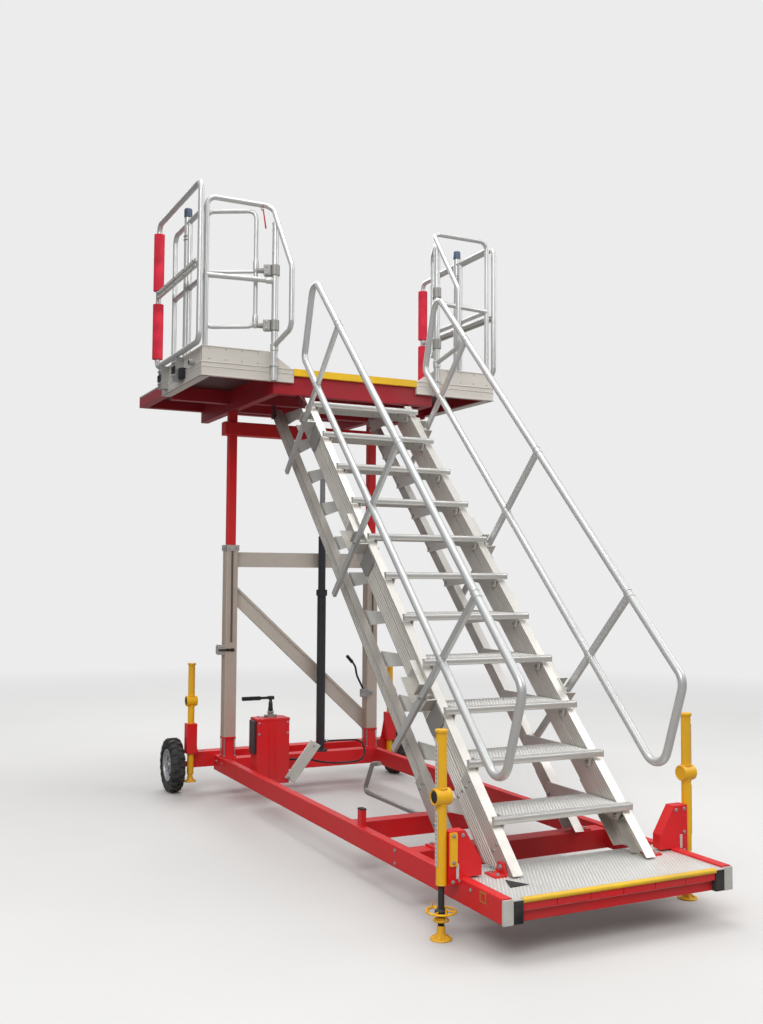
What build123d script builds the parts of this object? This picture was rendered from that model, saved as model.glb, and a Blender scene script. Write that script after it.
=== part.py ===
"""Variable height access platform with a self levelling stair.

Millimetres, +Z up. Sizes along Y are given from the front edge of the base step, and every piece is
written with its origin on the ground under the middle of the whole platform.
+Y runs from the foot of the stair to the far side of the deck, +X to the right.
"""

import os
from math import cos, radians, sin, sqrt, tan

from build123d import *

os.makedirs("parts", exist_ok=True)

# Distance from the front edge of the base step to the written origin.
ORIGIN_Y = 2238.0

# Fits between pieces.
PIN_FIT = 0.05
SOFT_FIT = 0.3
SLIDE_FIT = 0.3

# Long beams of the chassis.
BEAM_INNER = 580.0
BEAM_WIDTH = 50.0
BEAM_LOW = 155.0
BEAM_TOP = 265.0
BEAM_WALL = 6.0
BEAM_FRONT = 12.0
POST_STAND = (1400.0, 1445.0)
POST_STAND_THICK = 30.0
POST_STAND_HEIGHT = 88.0
AXLE_BEAM_FRONT = 3930.0
AXLE_BEAM_DEPTH = 110.0
AXLE_BEAM_LOW = 180.0
AXLE_BEAM_TOP = 290.0
AXLE_BEAM_HALF = 800.0
CROSS_HEIGHT = 100.0
END_PLATE = 12.0
BUFFER_WIDTH = 49.0
BUFFER_DEPTH = 30.0

# Base step.
STEP_DEPTH = 495.0
STEP_TOP = 255.0
STEP_HEIGHT = 42.0
STEP_WALL = 4.0
NOSING_DEPTH = 28.0
NOSING_HEIGHT = 26.0
NOSING_LIP = 4.0

# Stair, set out along its own slope from the two foot pivots.
STAIR_ANGLE = 45.0
FOOT_Y = 350.0
FOOT_Z = 290.0
REAR_OFFSET = 560.0
TREAD_COUNT = 11
TREAD_PITCH = 318.9
FIRST_TREAD = 190.2
STRINGER_INNER = 350.0
STRINGER_WIDTH = 50.0
STRINGER_DEPTH = 70.0
STRINGER_WALL = 5.0
STRINGER_RIB = 4.0
STRINGER_START = 180.0
STRINGER_TAIL = 34.0
TOP_PIVOT = 3450.7
FRONT_SLEEVE = 495.0
REAR_SLEEVE = 365.0
SLEEVE_WALL = 5.0
SLEEVE_TAIL = 90.0
SLEEVE_CUT = 265.0
SLEEVE_CUT_REACH = 300.0
FOOT_PIN = 8.0
TOP_PIN = 7.0
TOP_EYE = 20.0

# Treads, measured from the front pivot of each.
TREAD_HALF = 340.0
TREAD_FRONT = 50.0
TREAD_DEPTH = 285.0
TREAD_LIP_LOW = 30.0
TREAD_LIP_TOP = 64.0
TREAD_LIP_WALL = 12.0
TREAD_LIP_HALF = 400.0
TREAD_PLATE = 6.0
TREAD_ARM = 6.0
TREAD_PIN = 6.0
ARM_TAIL = 22.0
ARM_DROP = 24.0
ARM_WAIST = (200.0, 10.0)
ARM_HEEL = 17.0

# Handrails, in the plane of the stair: along the slope and square to it.
RAIL_X = 453.0
RAIL_TUBE = 21.0
RAIL_TOP = 750.0
RAIL_MID = 285.0
RAIL_TOP_SPAN = (417.0, 3828.0)
RAIL_MID_SPAN = (192.0, 3575.0)
RAIL_BENDS = (90.0, 70.0)
POST_PLACES = (976.0, 2121.0, 3266.0)
POST_WIDTH = 36.0
POST_THICK = 20.0
POST_END = -440.0
POST_BRACKET = 110.0
POST_BRACKET_DEPTH = 84.0
POST_BRACKET_WALL = 6.0

# Masts and lift ram.
MAST_X = 573.0
MAST_Y = 3780.0
MAST_SIZE = 90.0
MAST_WALL = 8.0
MAST_LOW = 416.0
MAST_TOP = 1811.0
INNER_MAST = 62.0
INNER_MAST_LOW = 900.0
CROSSHEAD_LOW = 2624.0
CROSSHEAD_TOP = 2723.0
CROSSHEAD_DEPTH = 96.0
CROSSHEAD_HALF = 640.0
MAST_BEAM_LOW = 1650.0
MAST_BEAM_TOP = 1760.0
RAM_X = 150.0
RAM_Y = 3755.0
RAM_RADIUS = 33.0
RAM_COLLAR = 42.0
RAM_STAGE = 28.0
RAM_ROD = 20.0
RAM_LOW = 300.0
RAM_COLLAR_Z = 1440.0
RAM_TOP = 1890.0
RAM_PORT = 65.0
RAM_PORT_Z = 335.0
RAM_FLANGE = 12.0
RAM_COLLAR_HEIGHT = 40.0
RAM_BASE = 60.0
GLAND_RADIUS = 11.0

# Platform.
DECK_TOP = 2970.0
DECK_PLATE = 12.0
DECK_FRONT = 2846.0
DECK_REAR = 4480.0
DECK_HALF = 1100.0
DECK_NOSING = 42.0
FASCIA_HEIGHT = 93.0
FASCIA_LOW = DECK_TOP - FASCIA_HEIGHT
FASCIA_DEPTH = 20.0
FASCIA_INNER = 466.0
FRAME_HEIGHT = 170.0
FRAME_EDGE_HEIGHT = 85.0
FRAME_LOW = DECK_TOP - FRAME_HEIGHT
FRAME_EDGE_LOW = DECK_TOP - FRAME_EDGE_HEIGHT
FRAME_BAR = 60.0
TOE_HEIGHT = 105.0
TOE_PLATE = 10.0
TOE_INNER = 637.0
TOE_FOOT = 476.0
TOE_REAR = 3760.0

# Guards on the platform.
GUARD_TUBE = 17.0
GUARD_INSET = 29.0
GUARD_X = DECK_HALF - GUARD_INSET
GUARD_FRONT = 2866.0
GUARD_REAR = 3615.0
GUARD_UPRIGHT = 3250.0
GUARD_HEIGHT = 1096.0
GUARD_MID_HEIGHT = 575.0
GUARD_TOP = DECK_TOP + GUARD_HEIGHT
GUARD_MID = DECK_TOP + GUARD_MID_HEIGHT
GUARD_BEND = 60.0
HINGE_POST_X = 616.0
HINGE_POST_Y = 2804.0
HINGE_POST = 22.0
HINGE_POST_DROP = 136.0
HINGE_POST_TOP = GUARD_TOP - HINGE_POST_DROP
LOOP_Y = 2500.0
LOOP_DROP = 496.0
LOOP_LENGTH = 400.0
LOOP_RETURN = 60.0
LOOP_HIGH = GUARD_TOP - LOOP_DROP
LOOP_LOW = LOOP_HIGH - LOOP_LENGTH
LOOP_END = LOOP_LOW - LOOP_RETURN
SLIDER_OUTSET = 40.0
SLIDER_X = DECK_HALF + SLIDER_OUTSET
SLIDER_TUBE = 19.0
SLIDER_FRONT = 2770.0
SLIDER_REAR = 3800.0
SLIDER_SHIFT = 180.0
SLIDER_LIFT = 115.0
SLIDER_MID_LIFT = 630.0
SLIDER_RISE = 64.0
SLIDER_LOW = DECK_TOP + SLIDER_LIFT
SLIDER_MID = DECK_TOP + SLIDER_MID_LIFT
SLIDER_TOP = GUARD_TOP + SLIDER_RISE
SLIDER_BEND = 55.0
FOAM_RADIUS = 38.0
FOAM_LOW_GAPS = (60.0, 55.0)
FOAM_HIGH_GAPS = (45.0, 70.0)
GATE_TUBE = 14.0
GATE_START = 130.0
GATE_END = 470.0
GATE_LIFT = 270.0
GATE_MID_LIFT = 640.0
GATE_DROP = 46.0
GATE_LOW = DECK_TOP + GATE_LIFT
GATE_MID = DECK_TOP + GATE_MID_LIFT
GATE_TOP = GUARD_TOP - GATE_DROP
GATE_BEND = 60.0
GATE_ARM_LIFTS = (90.0, 110.0)
GATE_ARMS = (GATE_LOW + GATE_ARM_LIFTS[0], GATE_MID + GATE_ARM_LIFTS[1])
GATE_BUSH_HALF = 24.0
GATE_BUSH_WALL = 9.0

# Wheels.
WHEEL_X = 915.0
WHEEL_Y = 4018.0
WHEEL_RADIUS = 195.0
TYRE_WIDTH = 100.0
RIM_RADIUS = 116.0
RIM_WIDTH = 84.0
AXLE_RADIUS = 20.0
BEAD = 8.0
SIDEWALL = 26.0
SHOULDER = 13.0
TREAD_CROWN = 4.0
RIM_WEB = 22.0
RIM_PLATE = 16.0
RIM_HUB = 46.0

# Screw jacks.
JACK_RADIUS = 24.0
JACK_CAP = 30.0
JACK_CAP_HEIGHT = 10.0
JACK_SCREW = 15.0
JACK_FOOT = 48.0
REAR_JACK_FOOT = 42.0
JACK_COLLAR = 38.0
JACK_COLLAR_LENGTH = 74.0
FRONT_JACK_X = 706.0
FRONT_JACK_Y = 388.0
REAR_JACK_X = 815.0
REAR_JACK_Y = 3906.0

SIDES = (-1, 1)


def slope_point(along: float, square: float = 0.0, foot_y: float = FOOT_Y) -> tuple[float, float]:
    """Returns (y, z) of a point given along the stair's slope and square to it."""
    angle = radians(STAIR_ANGLE)
    return (
        foot_y + along * cos(angle) - square * sin(angle),
        FOOT_Z + along * sin(angle) + square * cos(angle),
    )


def slope_plane(x: float, foot_y: float = FOOT_Y) -> Plane:
    """Plane at a given X whose own x axis runs up the slope and whose y axis is square to it."""
    angle = radians(STAIR_ANGLE)
    return Plane(origin=(x, foot_y, FOOT_Z), x_dir=(0, cos(angle), sin(angle)), z_dir=(1, 0, 0))


def side_plane(x: float) -> Plane:
    """Plane at a given X whose own axes are +Y and +Z."""
    return Plane(origin=(x, 0, 0), x_dir=(0, 1, 0), z_dir=(1, 0, 0))


def section_plane(along: float, foot_y: float = FOOT_Y) -> Plane:
    """Cross section of a stringer: own x is world X, own y is square to the slope."""
    y, z = slope_point(along, 0.0, foot_y)
    angle = radians(STAIR_ANGLE)
    return Plane(origin=(0, y, z), x_dir=(1, 0, 0), z_dir=(0, -cos(angle), -sin(angle)))


def write(part: Part, label: str) -> None:
    """Labels a finished piece, moves it to the written origin and writes its file."""
    part.label = label
    export_step(part.moved(Location((0, -ORIGIN_Y, 0))), f"parts/{label}.step")


def block(x: tuple, y: tuple, z: tuple, mode: Mode = Mode.ADD) -> None:
    """Adds a block to the open part, from its two ends along X, Y and Z."""
    x = sorted(x)
    with BuildSketch(Plane.XY.offset(z[0])) as base:
        with Locations(((x[0] + x[1]) / 2, (y[0] + y[1]) / 2)):
            Rectangle(x[1] - x[0], y[1] - y[0])
    extrude(base.sketch, amount=z[1] - z[0], mode=mode)


def rod(start: tuple, end: tuple, radius: float, mode: Mode = Mode.ADD) -> None:
    """Adds a straight round bar to the open part."""
    line = Vector(*end) - Vector(*start)
    with BuildSketch(Plane(origin=start, z_dir=line.normalized())) as base:
        Circle(radius)
    extrude(base.sketch, amount=line.length, mode=mode)


def bent_tube(points: list, bend: float, radius: float) -> None:
    """Adds a tube bent along the given corner points to the open part."""
    with BuildLine() as route:
        FilletPolyline(*points, radius=bend)
    with BuildSketch(Plane(origin=route.line @ 0, z_dir=route.line % 0)) as base:
        Circle(radius)
    sweep(base.sketch, path=route.line)


# Chassis: two long box beams, with cross members butted between them.
beam_outer = BEAM_INNER + BEAM_WIDTH
with BuildPart() as long_beams:
    with BuildSketch(Plane.XZ.offset(-BEAM_FRONT)):
        for side in SIDES:
            with Locations((side * (BEAM_INNER + BEAM_WIDTH / 2), (BEAM_LOW + BEAM_TOP) / 2)):
                RectangleRounded(BEAM_WIDTH, BEAM_TOP - BEAM_LOW, BEAM_WALL)
    extrude(amount=-(AXLE_BEAM_FRONT - BEAM_FRONT))
    # A short stand on the left beam holds the towing tube's bar when it is lifted.
    stand_x = -(BEAM_INNER + BEAM_WIDTH / 2)
    block(
        (stand_x - POST_STAND_THICK / 2, stand_x + POST_STAND_THICK / 2),
        POST_STAND,
        (BEAM_TOP, BEAM_TOP + POST_STAND_HEIGHT),
    )
write(long_beams.part, "long_beams")

# Cross members: name, front Y, depth, low Z, top Z.
CROSS_TABLE = (
    ("front", 30.0, 50.0, BEAM_LOW, BEAM_LOW + STEP_HEIGHT),
    ("rear_foot", 860.0, 100.0, BEAM_LOW, BEAM_LOW + CROSS_HEIGHT),
    ("middle", 1540.0, 90.0, BEAM_LOW, BEAM_LOW + CROSS_HEIGHT),
    ("ram", 3700.0, 100.0, BEAM_LOW, BEAM_TOP),
)
axle_beam_rear = AXLE_BEAM_FRONT + AXLE_BEAM_DEPTH
with BuildPart() as cross_members:
    for cross_name, front, depth, low, top in CROSS_TABLE:
        block((-BEAM_INNER, BEAM_INNER), (front, front + depth), (low, top))
    # The rear beam runs out past the long beams and ends in the two axle stubs.
    block(
        (-AXLE_BEAM_HALF, AXLE_BEAM_HALF),
        (AXLE_BEAM_FRONT, axle_beam_rear),
        (AXLE_BEAM_LOW, AXLE_BEAM_TOP),
    )
    for side in SIDES:
        stub_end = side * (WHEEL_X + RIM_WIDTH / 2)
        rod((side * AXLE_BEAM_HALF, WHEEL_Y, WHEEL_RADIUS), (stub_end, WHEEL_Y, WHEEL_RADIUS), AXLE_RADIUS)
write(cross_members.part, "cross_members")

with BuildPart() as beam_end_plates:
    for side in SIDES:
        edge = side * (BEAM_INNER + BEAM_WIDTH / 2)
        block(
            (edge - BEAM_WIDTH / 2, edge + BEAM_WIDTH / 2),
            (BEAM_FRONT - END_PLATE, BEAM_FRONT),
            (BEAM_LOW, BEAM_TOP - BEAM_WALL),
        )
write(beam_end_plates.part, "beam_end_plates")

step_half = BEAM_INNER - BUFFER_WIDTH
with BuildPart() as front_buffers:
    for side in SIDES:
        middle = side * (step_half + BUFFER_WIDTH / 2)
        block(
            (middle - BUFFER_WIDTH / 2, middle + BUFFER_WIDTH / 2),
            (0.0, BUFFER_DEPTH),
            (BEAM_LOW, STEP_TOP - STEP_WALL),
        )
    fillet(front_buffers.edges().filter_by(Axis.X).group_by(Axis.Y)[0], STEP_WALL)
write(front_buffers.part, "front_buffers")

# Base step: a folded tray that stands on the front cross member and butts against the beams.
step_low = BEAM_LOW + STEP_HEIGHT
with BuildPart() as base_step:
    block((-BEAM_INNER, BEAM_INNER), (BUFFER_DEPTH, STEP_DEPTH), (step_low, STEP_TOP))
    block(
        (-BEAM_INNER + STEP_WALL, BEAM_INNER - STEP_WALL),
        (BUFFER_DEPTH + STEP_WALL, STEP_DEPTH - STEP_WALL),
        (step_low, STEP_TOP - STEP_WALL),
        mode=Mode.SUBTRACT,
    )
    block((-BEAM_INNER, BEAM_INNER), (0.0, BUFFER_DEPTH), (STEP_TOP - STEP_WALL, STEP_TOP))
write(base_step.part, "base_step")

with BuildPart() as base_nosing:
    block((-step_half, step_half), (-NOSING_LIP, 0.0), (STEP_TOP - NOSING_HEIGHT, STEP_TOP + NOSING_LIP))
    block((-step_half, step_half), (0.0, NOSING_DEPTH), (STEP_TOP, STEP_TOP + NOSING_LIP))
write(base_nosing.part, "base_nosing")

# Foot pivot brackets of the stair: two cheeks with a pin that points inboard.
sleeve_outer = STRINGER_INNER + STRINGER_WIDTH + SLIDE_FIT + SLEEVE_WALL
FOOT_GAP = 6.0
FOOT_CHEEK = 10.0
FOOT_BASE = 55.0
FOOT_HALF = 45.0
FOOT_HEAD = 22.0
cheek_inner = sleeve_outer + FOOT_GAP
cheek_outer = cheek_inner + FOOT_CHEEK
with BuildPart() as foot_brackets:
    for side in SIDES:
        for foot_y in (FOOT_Y, FOOT_Y + REAR_OFFSET):
            with BuildSketch(side_plane(side * cheek_inner)):
                with BuildLine():
                    Polyline(
                        (foot_y - FOOT_HALF, STEP_TOP),
                        (foot_y + FOOT_HALF, STEP_TOP),
                        (foot_y + FOOT_HEAD, FOOT_Z + FOOT_HEAD),
                        (foot_y - FOOT_HEAD, FOOT_Z + FOOT_HEAD),
                        close=True,
                    )
                make_face()
            extrude(amount=side * FOOT_CHEEK)
            block(
                (side * cheek_outer, side * (cheek_outer + FOOT_BASE)),
                (foot_y - FOOT_HALF, foot_y + FOOT_HALF),
                (STEP_TOP, STEP_TOP + FOOT_CHEEK),
            )
            rod(
                (side * cheek_outer, foot_y, FOOT_Z),
                (side * (sleeve_outer - SLEEVE_WALL + 1), foot_y, FOOT_Z),
                FOOT_PIN,
            )
write(foot_brackets.part, "foot_brackets")


def sleeve(foot_y: float, length: float) -> None:
    """Adds a pair of sleeve channels, open inboard, that a stringer slides in."""
    half = STRINGER_DEPTH / 2 + SLIDE_FIT
    inner = STRINGER_INNER + SLIDE_FIT
    outer = STRINGER_INNER + STRINGER_WIDTH + SLIDE_FIT
    for side in SIDES:
        with BuildSketch(section_plane(-SLEEVE_TAIL, foot_y)) as channel:
            with BuildLine():
                Polyline(
                    (side * inner, half),
                    (side * outer, half),
                    (side * outer, -half),
                    (side * inner, -half),
                    (side * inner, -half - SLEEVE_WALL),
                    (side * (outer + SLEEVE_WALL), -half - SLEEVE_WALL),
                    (side * (outer + SLEEVE_WALL), half + SLEEVE_WALL),
                    (side * inner, half + SLEEVE_WALL),
                    close=True,
                )
            make_face()
        extrude(channel.sketch, amount=-(length + SLEEVE_TAIL))
    block(
        (-sleeve_outer - 1, sleeve_outer + 1),
        (foot_y - SLEEVE_CUT_REACH, foot_y + SLEEVE_CUT_REACH),
        (SLEEVE_CUT - SLEEVE_CUT_REACH, SLEEVE_CUT),
        mode=Mode.SUBTRACT,
    )
    for side in SIDES:
        rod(
            (side * (outer - 1), foot_y, FOOT_Z),
            (side * (sleeve_outer + 1), foot_y, FOOT_Z),
            FOOT_PIN + PIN_FIT,
            mode=Mode.SUBTRACT,
        )


with BuildPart() as front_sleeves:
    sleeve(FOOT_Y, FRONT_SLEEVE)
write(front_sleeves.part, "front_sleeves")

with BuildPart() as rear_sleeves:
    sleeve(FOOT_Y + REAR_OFFSET, REAR_SLEEVE)
write(rear_sleeves.part, "rear_sleeves")


def stringers(foot_y: float, start: float, end: float) -> None:
    """Adds a pair of ribbed stringer extrusions with a hole for each tread's pin and for the top pin."""
    half = STRINGER_DEPTH / 2
    outer = STRINGER_INNER + STRINGER_WIDTH
    for side in SIDES:
        with BuildSketch(section_plane(start, foot_y)) as profile:
            middle = side * (STRINGER_INNER + STRINGER_WIDTH / 2)
            with Locations((middle, 0)):
                Rectangle(STRINGER_WIDTH, STRINGER_DEPTH)
            # Ribs stand between grooves on the outer face.
            for row in (-20.0, 0.0, 20.0):
                with Locations((side * (outer - STRINGER_RIB / 2), row)):
                    Rectangle(STRINGER_RIB, 12.0, mode=Mode.SUBTRACT)
            with Locations((side * (STRINGER_INNER + STRINGER_WALL + 16.0), 0)):
                Rectangle(32.0, STRINGER_DEPTH - 2 * STRINGER_WALL, mode=Mode.SUBTRACT)
        extrude(profile.sketch, amount=-(end - start))
    for side in SIDES:
        for number in range(TREAD_COUNT):
            y, z = slope_point(FIRST_TREAD + number * TREAD_PITCH, 0.0, foot_y)
            rod(
                (side * (STRINGER_INNER - 1), y, z),
                (side * (STRINGER_INNER + STRINGER_WALL + 1), y, z),
                TREAD_PIN + PIN_FIT,
                mode=Mode.SUBTRACT,
            )
        y, z = slope_point(TOP_PIVOT, 0.0, foot_y)
        rod((side * (STRINGER_INNER - 1), y, z), (side * (outer + 1), y, z), TOP_EYE, mode=Mode.SUBTRACT)


with BuildPart() as front_stringers:
    stringers(FOOT_Y, STRINGER_START, TOP_PIVOT + STRINGER_TAIL)
write(front_stringers.part, "front_stringers")

with BuildPart() as rear_stringers:
    stringers(FOOT_Y + REAR_OFFSET, STRINGER_START, TOP_PIVOT + STRINGER_TAIL)
write(rear_stringers.part, "rear_stringers")

# Treads: a tray with a raised front lip, and an arm at each side that reaches the rear stringer.
for number in range(TREAD_COUNT):
    pivot_y, pivot_z = slope_point(FIRST_TREAD + number * TREAD_PITCH)
    front_y = pivot_y - TREAD_FRONT
    lip_y = front_y + TREAD_LIP_WALL
    back_y = front_y + TREAD_DEPTH
    rear_y = pivot_y + REAR_OFFSET
    top_z = pivot_z + TREAD_LIP_TOP
    low_z = pivot_z + TREAD_LIP_LOW
    with BuildPart() as tread:
        block((-TREAD_LIP_HALF, TREAD_LIP_HALF), (front_y, lip_y), (low_z, top_z))
        block((-TREAD_HALF, TREAD_HALF), (lip_y, back_y), (top_z - TREAD_PLATE, top_z))
        block((-TREAD_HALF, TREAD_HALF), (back_y - TREAD_PLATE, back_y), (low_z, top_z - TREAD_PLATE))
        for side in SIDES:
            with BuildSketch(side_plane(side * TREAD_HALF)):
                with BuildLine():
                    Polyline(
                        (lip_y, top_z),
                        (rear_y + ARM_TAIL, top_z),
                        (rear_y + ARM_TAIL, pivot_z - ARM_DROP),
                        (rear_y - ARM_TAIL, pivot_z - ARM_DROP),
                        (pivot_y + ARM_WAIST[0], pivot_z + ARM_WAIST[1]),
                        (pivot_y + ARM_TAIL, pivot_z - ARM_HEEL),
                        (pivot_y - ARM_HEEL, pivot_z - ARM_HEEL),
                        (lip_y, low_z),
                        close=True,
                    )
                make_face()
            extrude(amount=-side * TREAD_ARM)
            for pin_y in (pivot_y, rear_y):
                pin_root = (side * TREAD_HALF, pin_y, pivot_z)
                rod(pin_root, (side * (STRINGER_INNER + STRINGER_WALL), pin_y, pivot_z), TREAD_PIN)
                rod(pin_root, (side * (STRINGER_INNER - SOFT_FIT), pin_y, pivot_z), 2 * TREAD_PIN)
    write(tread.part, f"tread_{number + 1:02d}")

# Handrails: a closed loop of tube at each side, welded to three posts square to the stair.
with BuildPart() as handrails:
    for side in SIDES:
        x = side * RAIL_X
        joint_top = ((RAIL_TOP_SPAN[0] + RAIL_TOP_SPAN[1]) / 2, RAIL_TOP)
        joint_mid = ((RAIL_MID_SPAN[0] + RAIL_MID_SPAN[1]) / 2, RAIL_MID)
        for top_end, mid_end, bend in zip(RAIL_TOP_SPAN, RAIL_MID_SPAN, RAIL_BENDS):
            corners = (joint_top, (top_end, RAIL_TOP), (mid_end, RAIL_MID), joint_mid)
            bent_tube([(x, *slope_point(along, square)) for along, square in corners], bend, RAIL_TUBE)
        for place in POST_PLACES:
            with BuildSketch(slope_plane(x - POST_THICK / 2)):
                with Locations((place, (RAIL_TOP + POST_END) / 2)):
                    Rectangle(POST_WIDTH, RAIL_TOP - POST_END)
            extrude(amount=POST_THICK)
write(handrails.part, "handrails")

# Brackets that carry the posts on the front stringers.
post_inner = RAIL_X - POST_THICK / 2
stringer_outer = STRINGER_INNER + STRINGER_WIDTH
with BuildPart() as post_brackets:
    for side in SIDES:
        for place in POST_PLACES:
            with BuildSketch(slope_plane(side * stringer_outer)):
                with Locations((place, 0)):
                    Rectangle(POST_BRACKET, POST_BRACKET_DEPTH)
            extrude(amount=side * POST_BRACKET_WALL)
            with BuildSketch(slope_plane(side * stringer_outer)):
                cheek_place = (POST_BRACKET - POST_BRACKET_WALL) / 2
                with Locations((place - cheek_place, 0), (place + cheek_place, 0)):
                    Rectangle(POST_BRACKET_WALL, POST_BRACKET_DEPTH)
            extrude(amount=side * (post_inner + POST_THICK - stringer_outer))
            with BuildSketch(slope_plane(side * stringer_outer)):
                with Locations((place, 0)):
                    Circle(POST_WIDTH / 2)
            extrude(amount=side * (post_inner - stringer_outer))
write(post_brackets.part, "post_brackets")

# Outer masts on pedestals, with their top beam and diagonal brace.
with BuildPart() as outer_masts:
    for side in SIDES:
        with BuildSketch(Plane.XY.offset(MAST_LOW)):
            with Locations((side * MAST_X, MAST_Y)):
                RectangleRounded(MAST_SIZE, MAST_SIZE, MAST_WALL)
                Rectangle(MAST_SIZE - 2 * MAST_WALL, MAST_SIZE - 2 * MAST_WALL, mode=Mode.SUBTRACT)
        extrude(amount=MAST_TOP - MAST_LOW)
write(outer_masts.part, "outer_masts")

mast_front = MAST_Y - MAST_SIZE / 2
mast_rear = MAST_Y + MAST_SIZE / 2
PEDESTAL_PLATE = 12.0
PEDESTAL_SIZE = 72.0
with BuildPart() as mast_feet:
    for side in SIDES:
        for low, high, size in (
            (BEAM_TOP, BEAM_TOP + PEDESTAL_PLATE, MAST_SIZE + MAST_WALL),
            (BEAM_TOP + PEDESTAL_PLATE, MAST_LOW - PEDESTAL_PLATE, PEDESTAL_SIZE),
            (MAST_LOW - PEDESTAL_PLATE, MAST_LOW, MAST_SIZE),
        ):
            block(
                (side * MAST_X - size / 2, side * MAST_X + size / 2),
                (MAST_Y - size / 2, MAST_Y + size / 2),
                (low, high),
            )
write(mast_feet.part, "mast_feet")

mast_inside = MAST_X - MAST_SIZE / 2
BRACE_WIDTH = 100.0
BRACE_THICK = 24.0
BRACE_HIGH = 1520.0
BRACE_LOW = 455.0
BRACE_EDGE = 24.0
BRACE_RECESS = 8.0
with BuildPart() as mast_bracing:
    block((-mast_inside, mast_inside), (RAM_Y + RAM_STAGE + 4, mast_rear), (MAST_BEAM_LOW, MAST_BEAM_TOP))
    with BuildSketch(Plane.XZ.offset(-(mast_rear - BRACE_THICK))):
        with BuildLine():
            Polyline(
                (-mast_inside, BRACE_HIGH),
                (-mast_inside, BRACE_HIGH - BRACE_WIDTH * sqrt(2)),
                (mast_inside, BRACE_LOW - BRACE_WIDTH / 2),
                (mast_inside, BRACE_LOW + BRACE_WIDTH),
                close=True,
            )
        make_face()
    extrude(amount=-BRACE_THICK)
    # The brace is a channel: its front is recessed between two raised edges.
    with BuildSketch(Plane.XZ.offset(-(mast_rear - BRACE_THICK))):
        with BuildLine():
            Polyline(
                (-mast_inside, BRACE_HIGH - BRACE_EDGE),
                (-mast_inside, BRACE_HIGH - BRACE_WIDTH * sqrt(2) + BRACE_EDGE),
                (mast_inside, BRACE_LOW - BRACE_WIDTH / 2 + BRACE_EDGE),
                (mast_inside, BRACE_LOW + BRACE_WIDTH - BRACE_EDGE),
                close=True,
            )
        make_face()
    extrude(amount=-BRACE_RECESS, mode=Mode.SUBTRACT)
write(mast_bracing.part, "mast_bracing")

# Lift ram beside the masts, on the ram cross member.
with BuildPart() as ram_cylinder:
    for low, high, radius in (
        (BEAM_TOP, BEAM_TOP + RAM_FLANGE, RAM_COLLAR + RAM_FLANGE),
        (BEAM_TOP + RAM_FLANGE, RAM_LOW, RAM_STAGE),
        (RAM_LOW, RAM_COLLAR_Z, RAM_RADIUS),
        (RAM_COLLAR_Z, RAM_COLLAR_Z + RAM_COLLAR_HEIGHT, RAM_COLLAR),
        (RAM_COLLAR_Z + RAM_COLLAR_HEIGHT, RAM_TOP, RAM_STAGE),
    ):
        with BuildSketch(Plane.XY.offset(low)):
            with Locations((RAM_X, RAM_Y)):
                Circle(radius)
        extrude(amount=high - low)
    rod((RAM_X, RAM_Y, RAM_PORT_Z), (RAM_X + RAM_PORT, RAM_Y, RAM_PORT_Z), GLAND_RADIUS)
    rod(
        (RAM_X, RAM_Y, RAM_TOP + 1),
        (RAM_X, RAM_Y, RAM_LOW + RAM_BASE),
        RAM_ROD + PIN_FIT,
        mode=Mode.SUBTRACT,
    )
write(ram_cylinder.part, "ram_cylinder")

# Hand pump box inside the left beam, with its valve, lever and the hose to the ram.
PUMP_X = (-545.0, -308.0)
PUMP_Y = (3230.0, 3370.0)
PUMP_TOP = 600.0
PUMP_FOOT = 20.0
HOSE_Y = 3300.0
HOSE_Z = 300.0
HOSE_GLAND = 22.0
VALVE_X = -425.0
VALVE_HALF = 30.0
VALVE_BODY = 50.0
VALVE_STEM = 10.0
VALVE_STEM_TOP = 120.0
VALVE_GRIP = 8.0
VALVE_GRIP_Z = 110.0
VALVE_GRIP_SPAN = (-100.0, 60.0)
with BuildPart() as pump_box:
    block(PUMP_X, PUMP_Y, (BEAM_LOW, PUMP_TOP))
    fillet(pump_box.edges().filter_by(Axis.Z), BEAM_WALL)
    block(
        (-BEAM_INNER, PUMP_X[0]),
        (PUMP_Y[0] + PUMP_FOOT, PUMP_Y[1] - PUMP_FOOT),
        (BEAM_LOW, BEAM_TOP - PUMP_FOOT),
    )
    rod((PUMP_X[1], HOSE_Y, HOSE_Z), (PUMP_X[1] + HOSE_GLAND, HOSE_Y, HOSE_Z), GLAND_RADIUS)
write(pump_box.part, "pump_box")

with BuildPart() as pump_valve:
    block(
        (VALVE_X - VALVE_HALF, VALVE_X + VALVE_HALF),
        (HOSE_Y - VALVE_HALF, HOSE_Y + VALVE_HALF),
        (PUMP_TOP, PUMP_TOP + VALVE_BODY),
    )
    rod((VALVE_X, HOSE_Y, PUMP_TOP + VALVE_BODY), (VALVE_X, HOSE_Y, PUMP_TOP + VALVE_STEM_TOP), VALVE_STEM)
    grip_z = PUMP_TOP + VALVE_GRIP_Z
    grip_low, grip_high = VALVE_GRIP_SPAN
    rod((VALVE_X + grip_low, HOSE_Y, grip_z), (VALVE_X + grip_high, HOSE_Y, grip_z), VALVE_GRIP)
write(pump_valve.part, "pump_valve")


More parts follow.
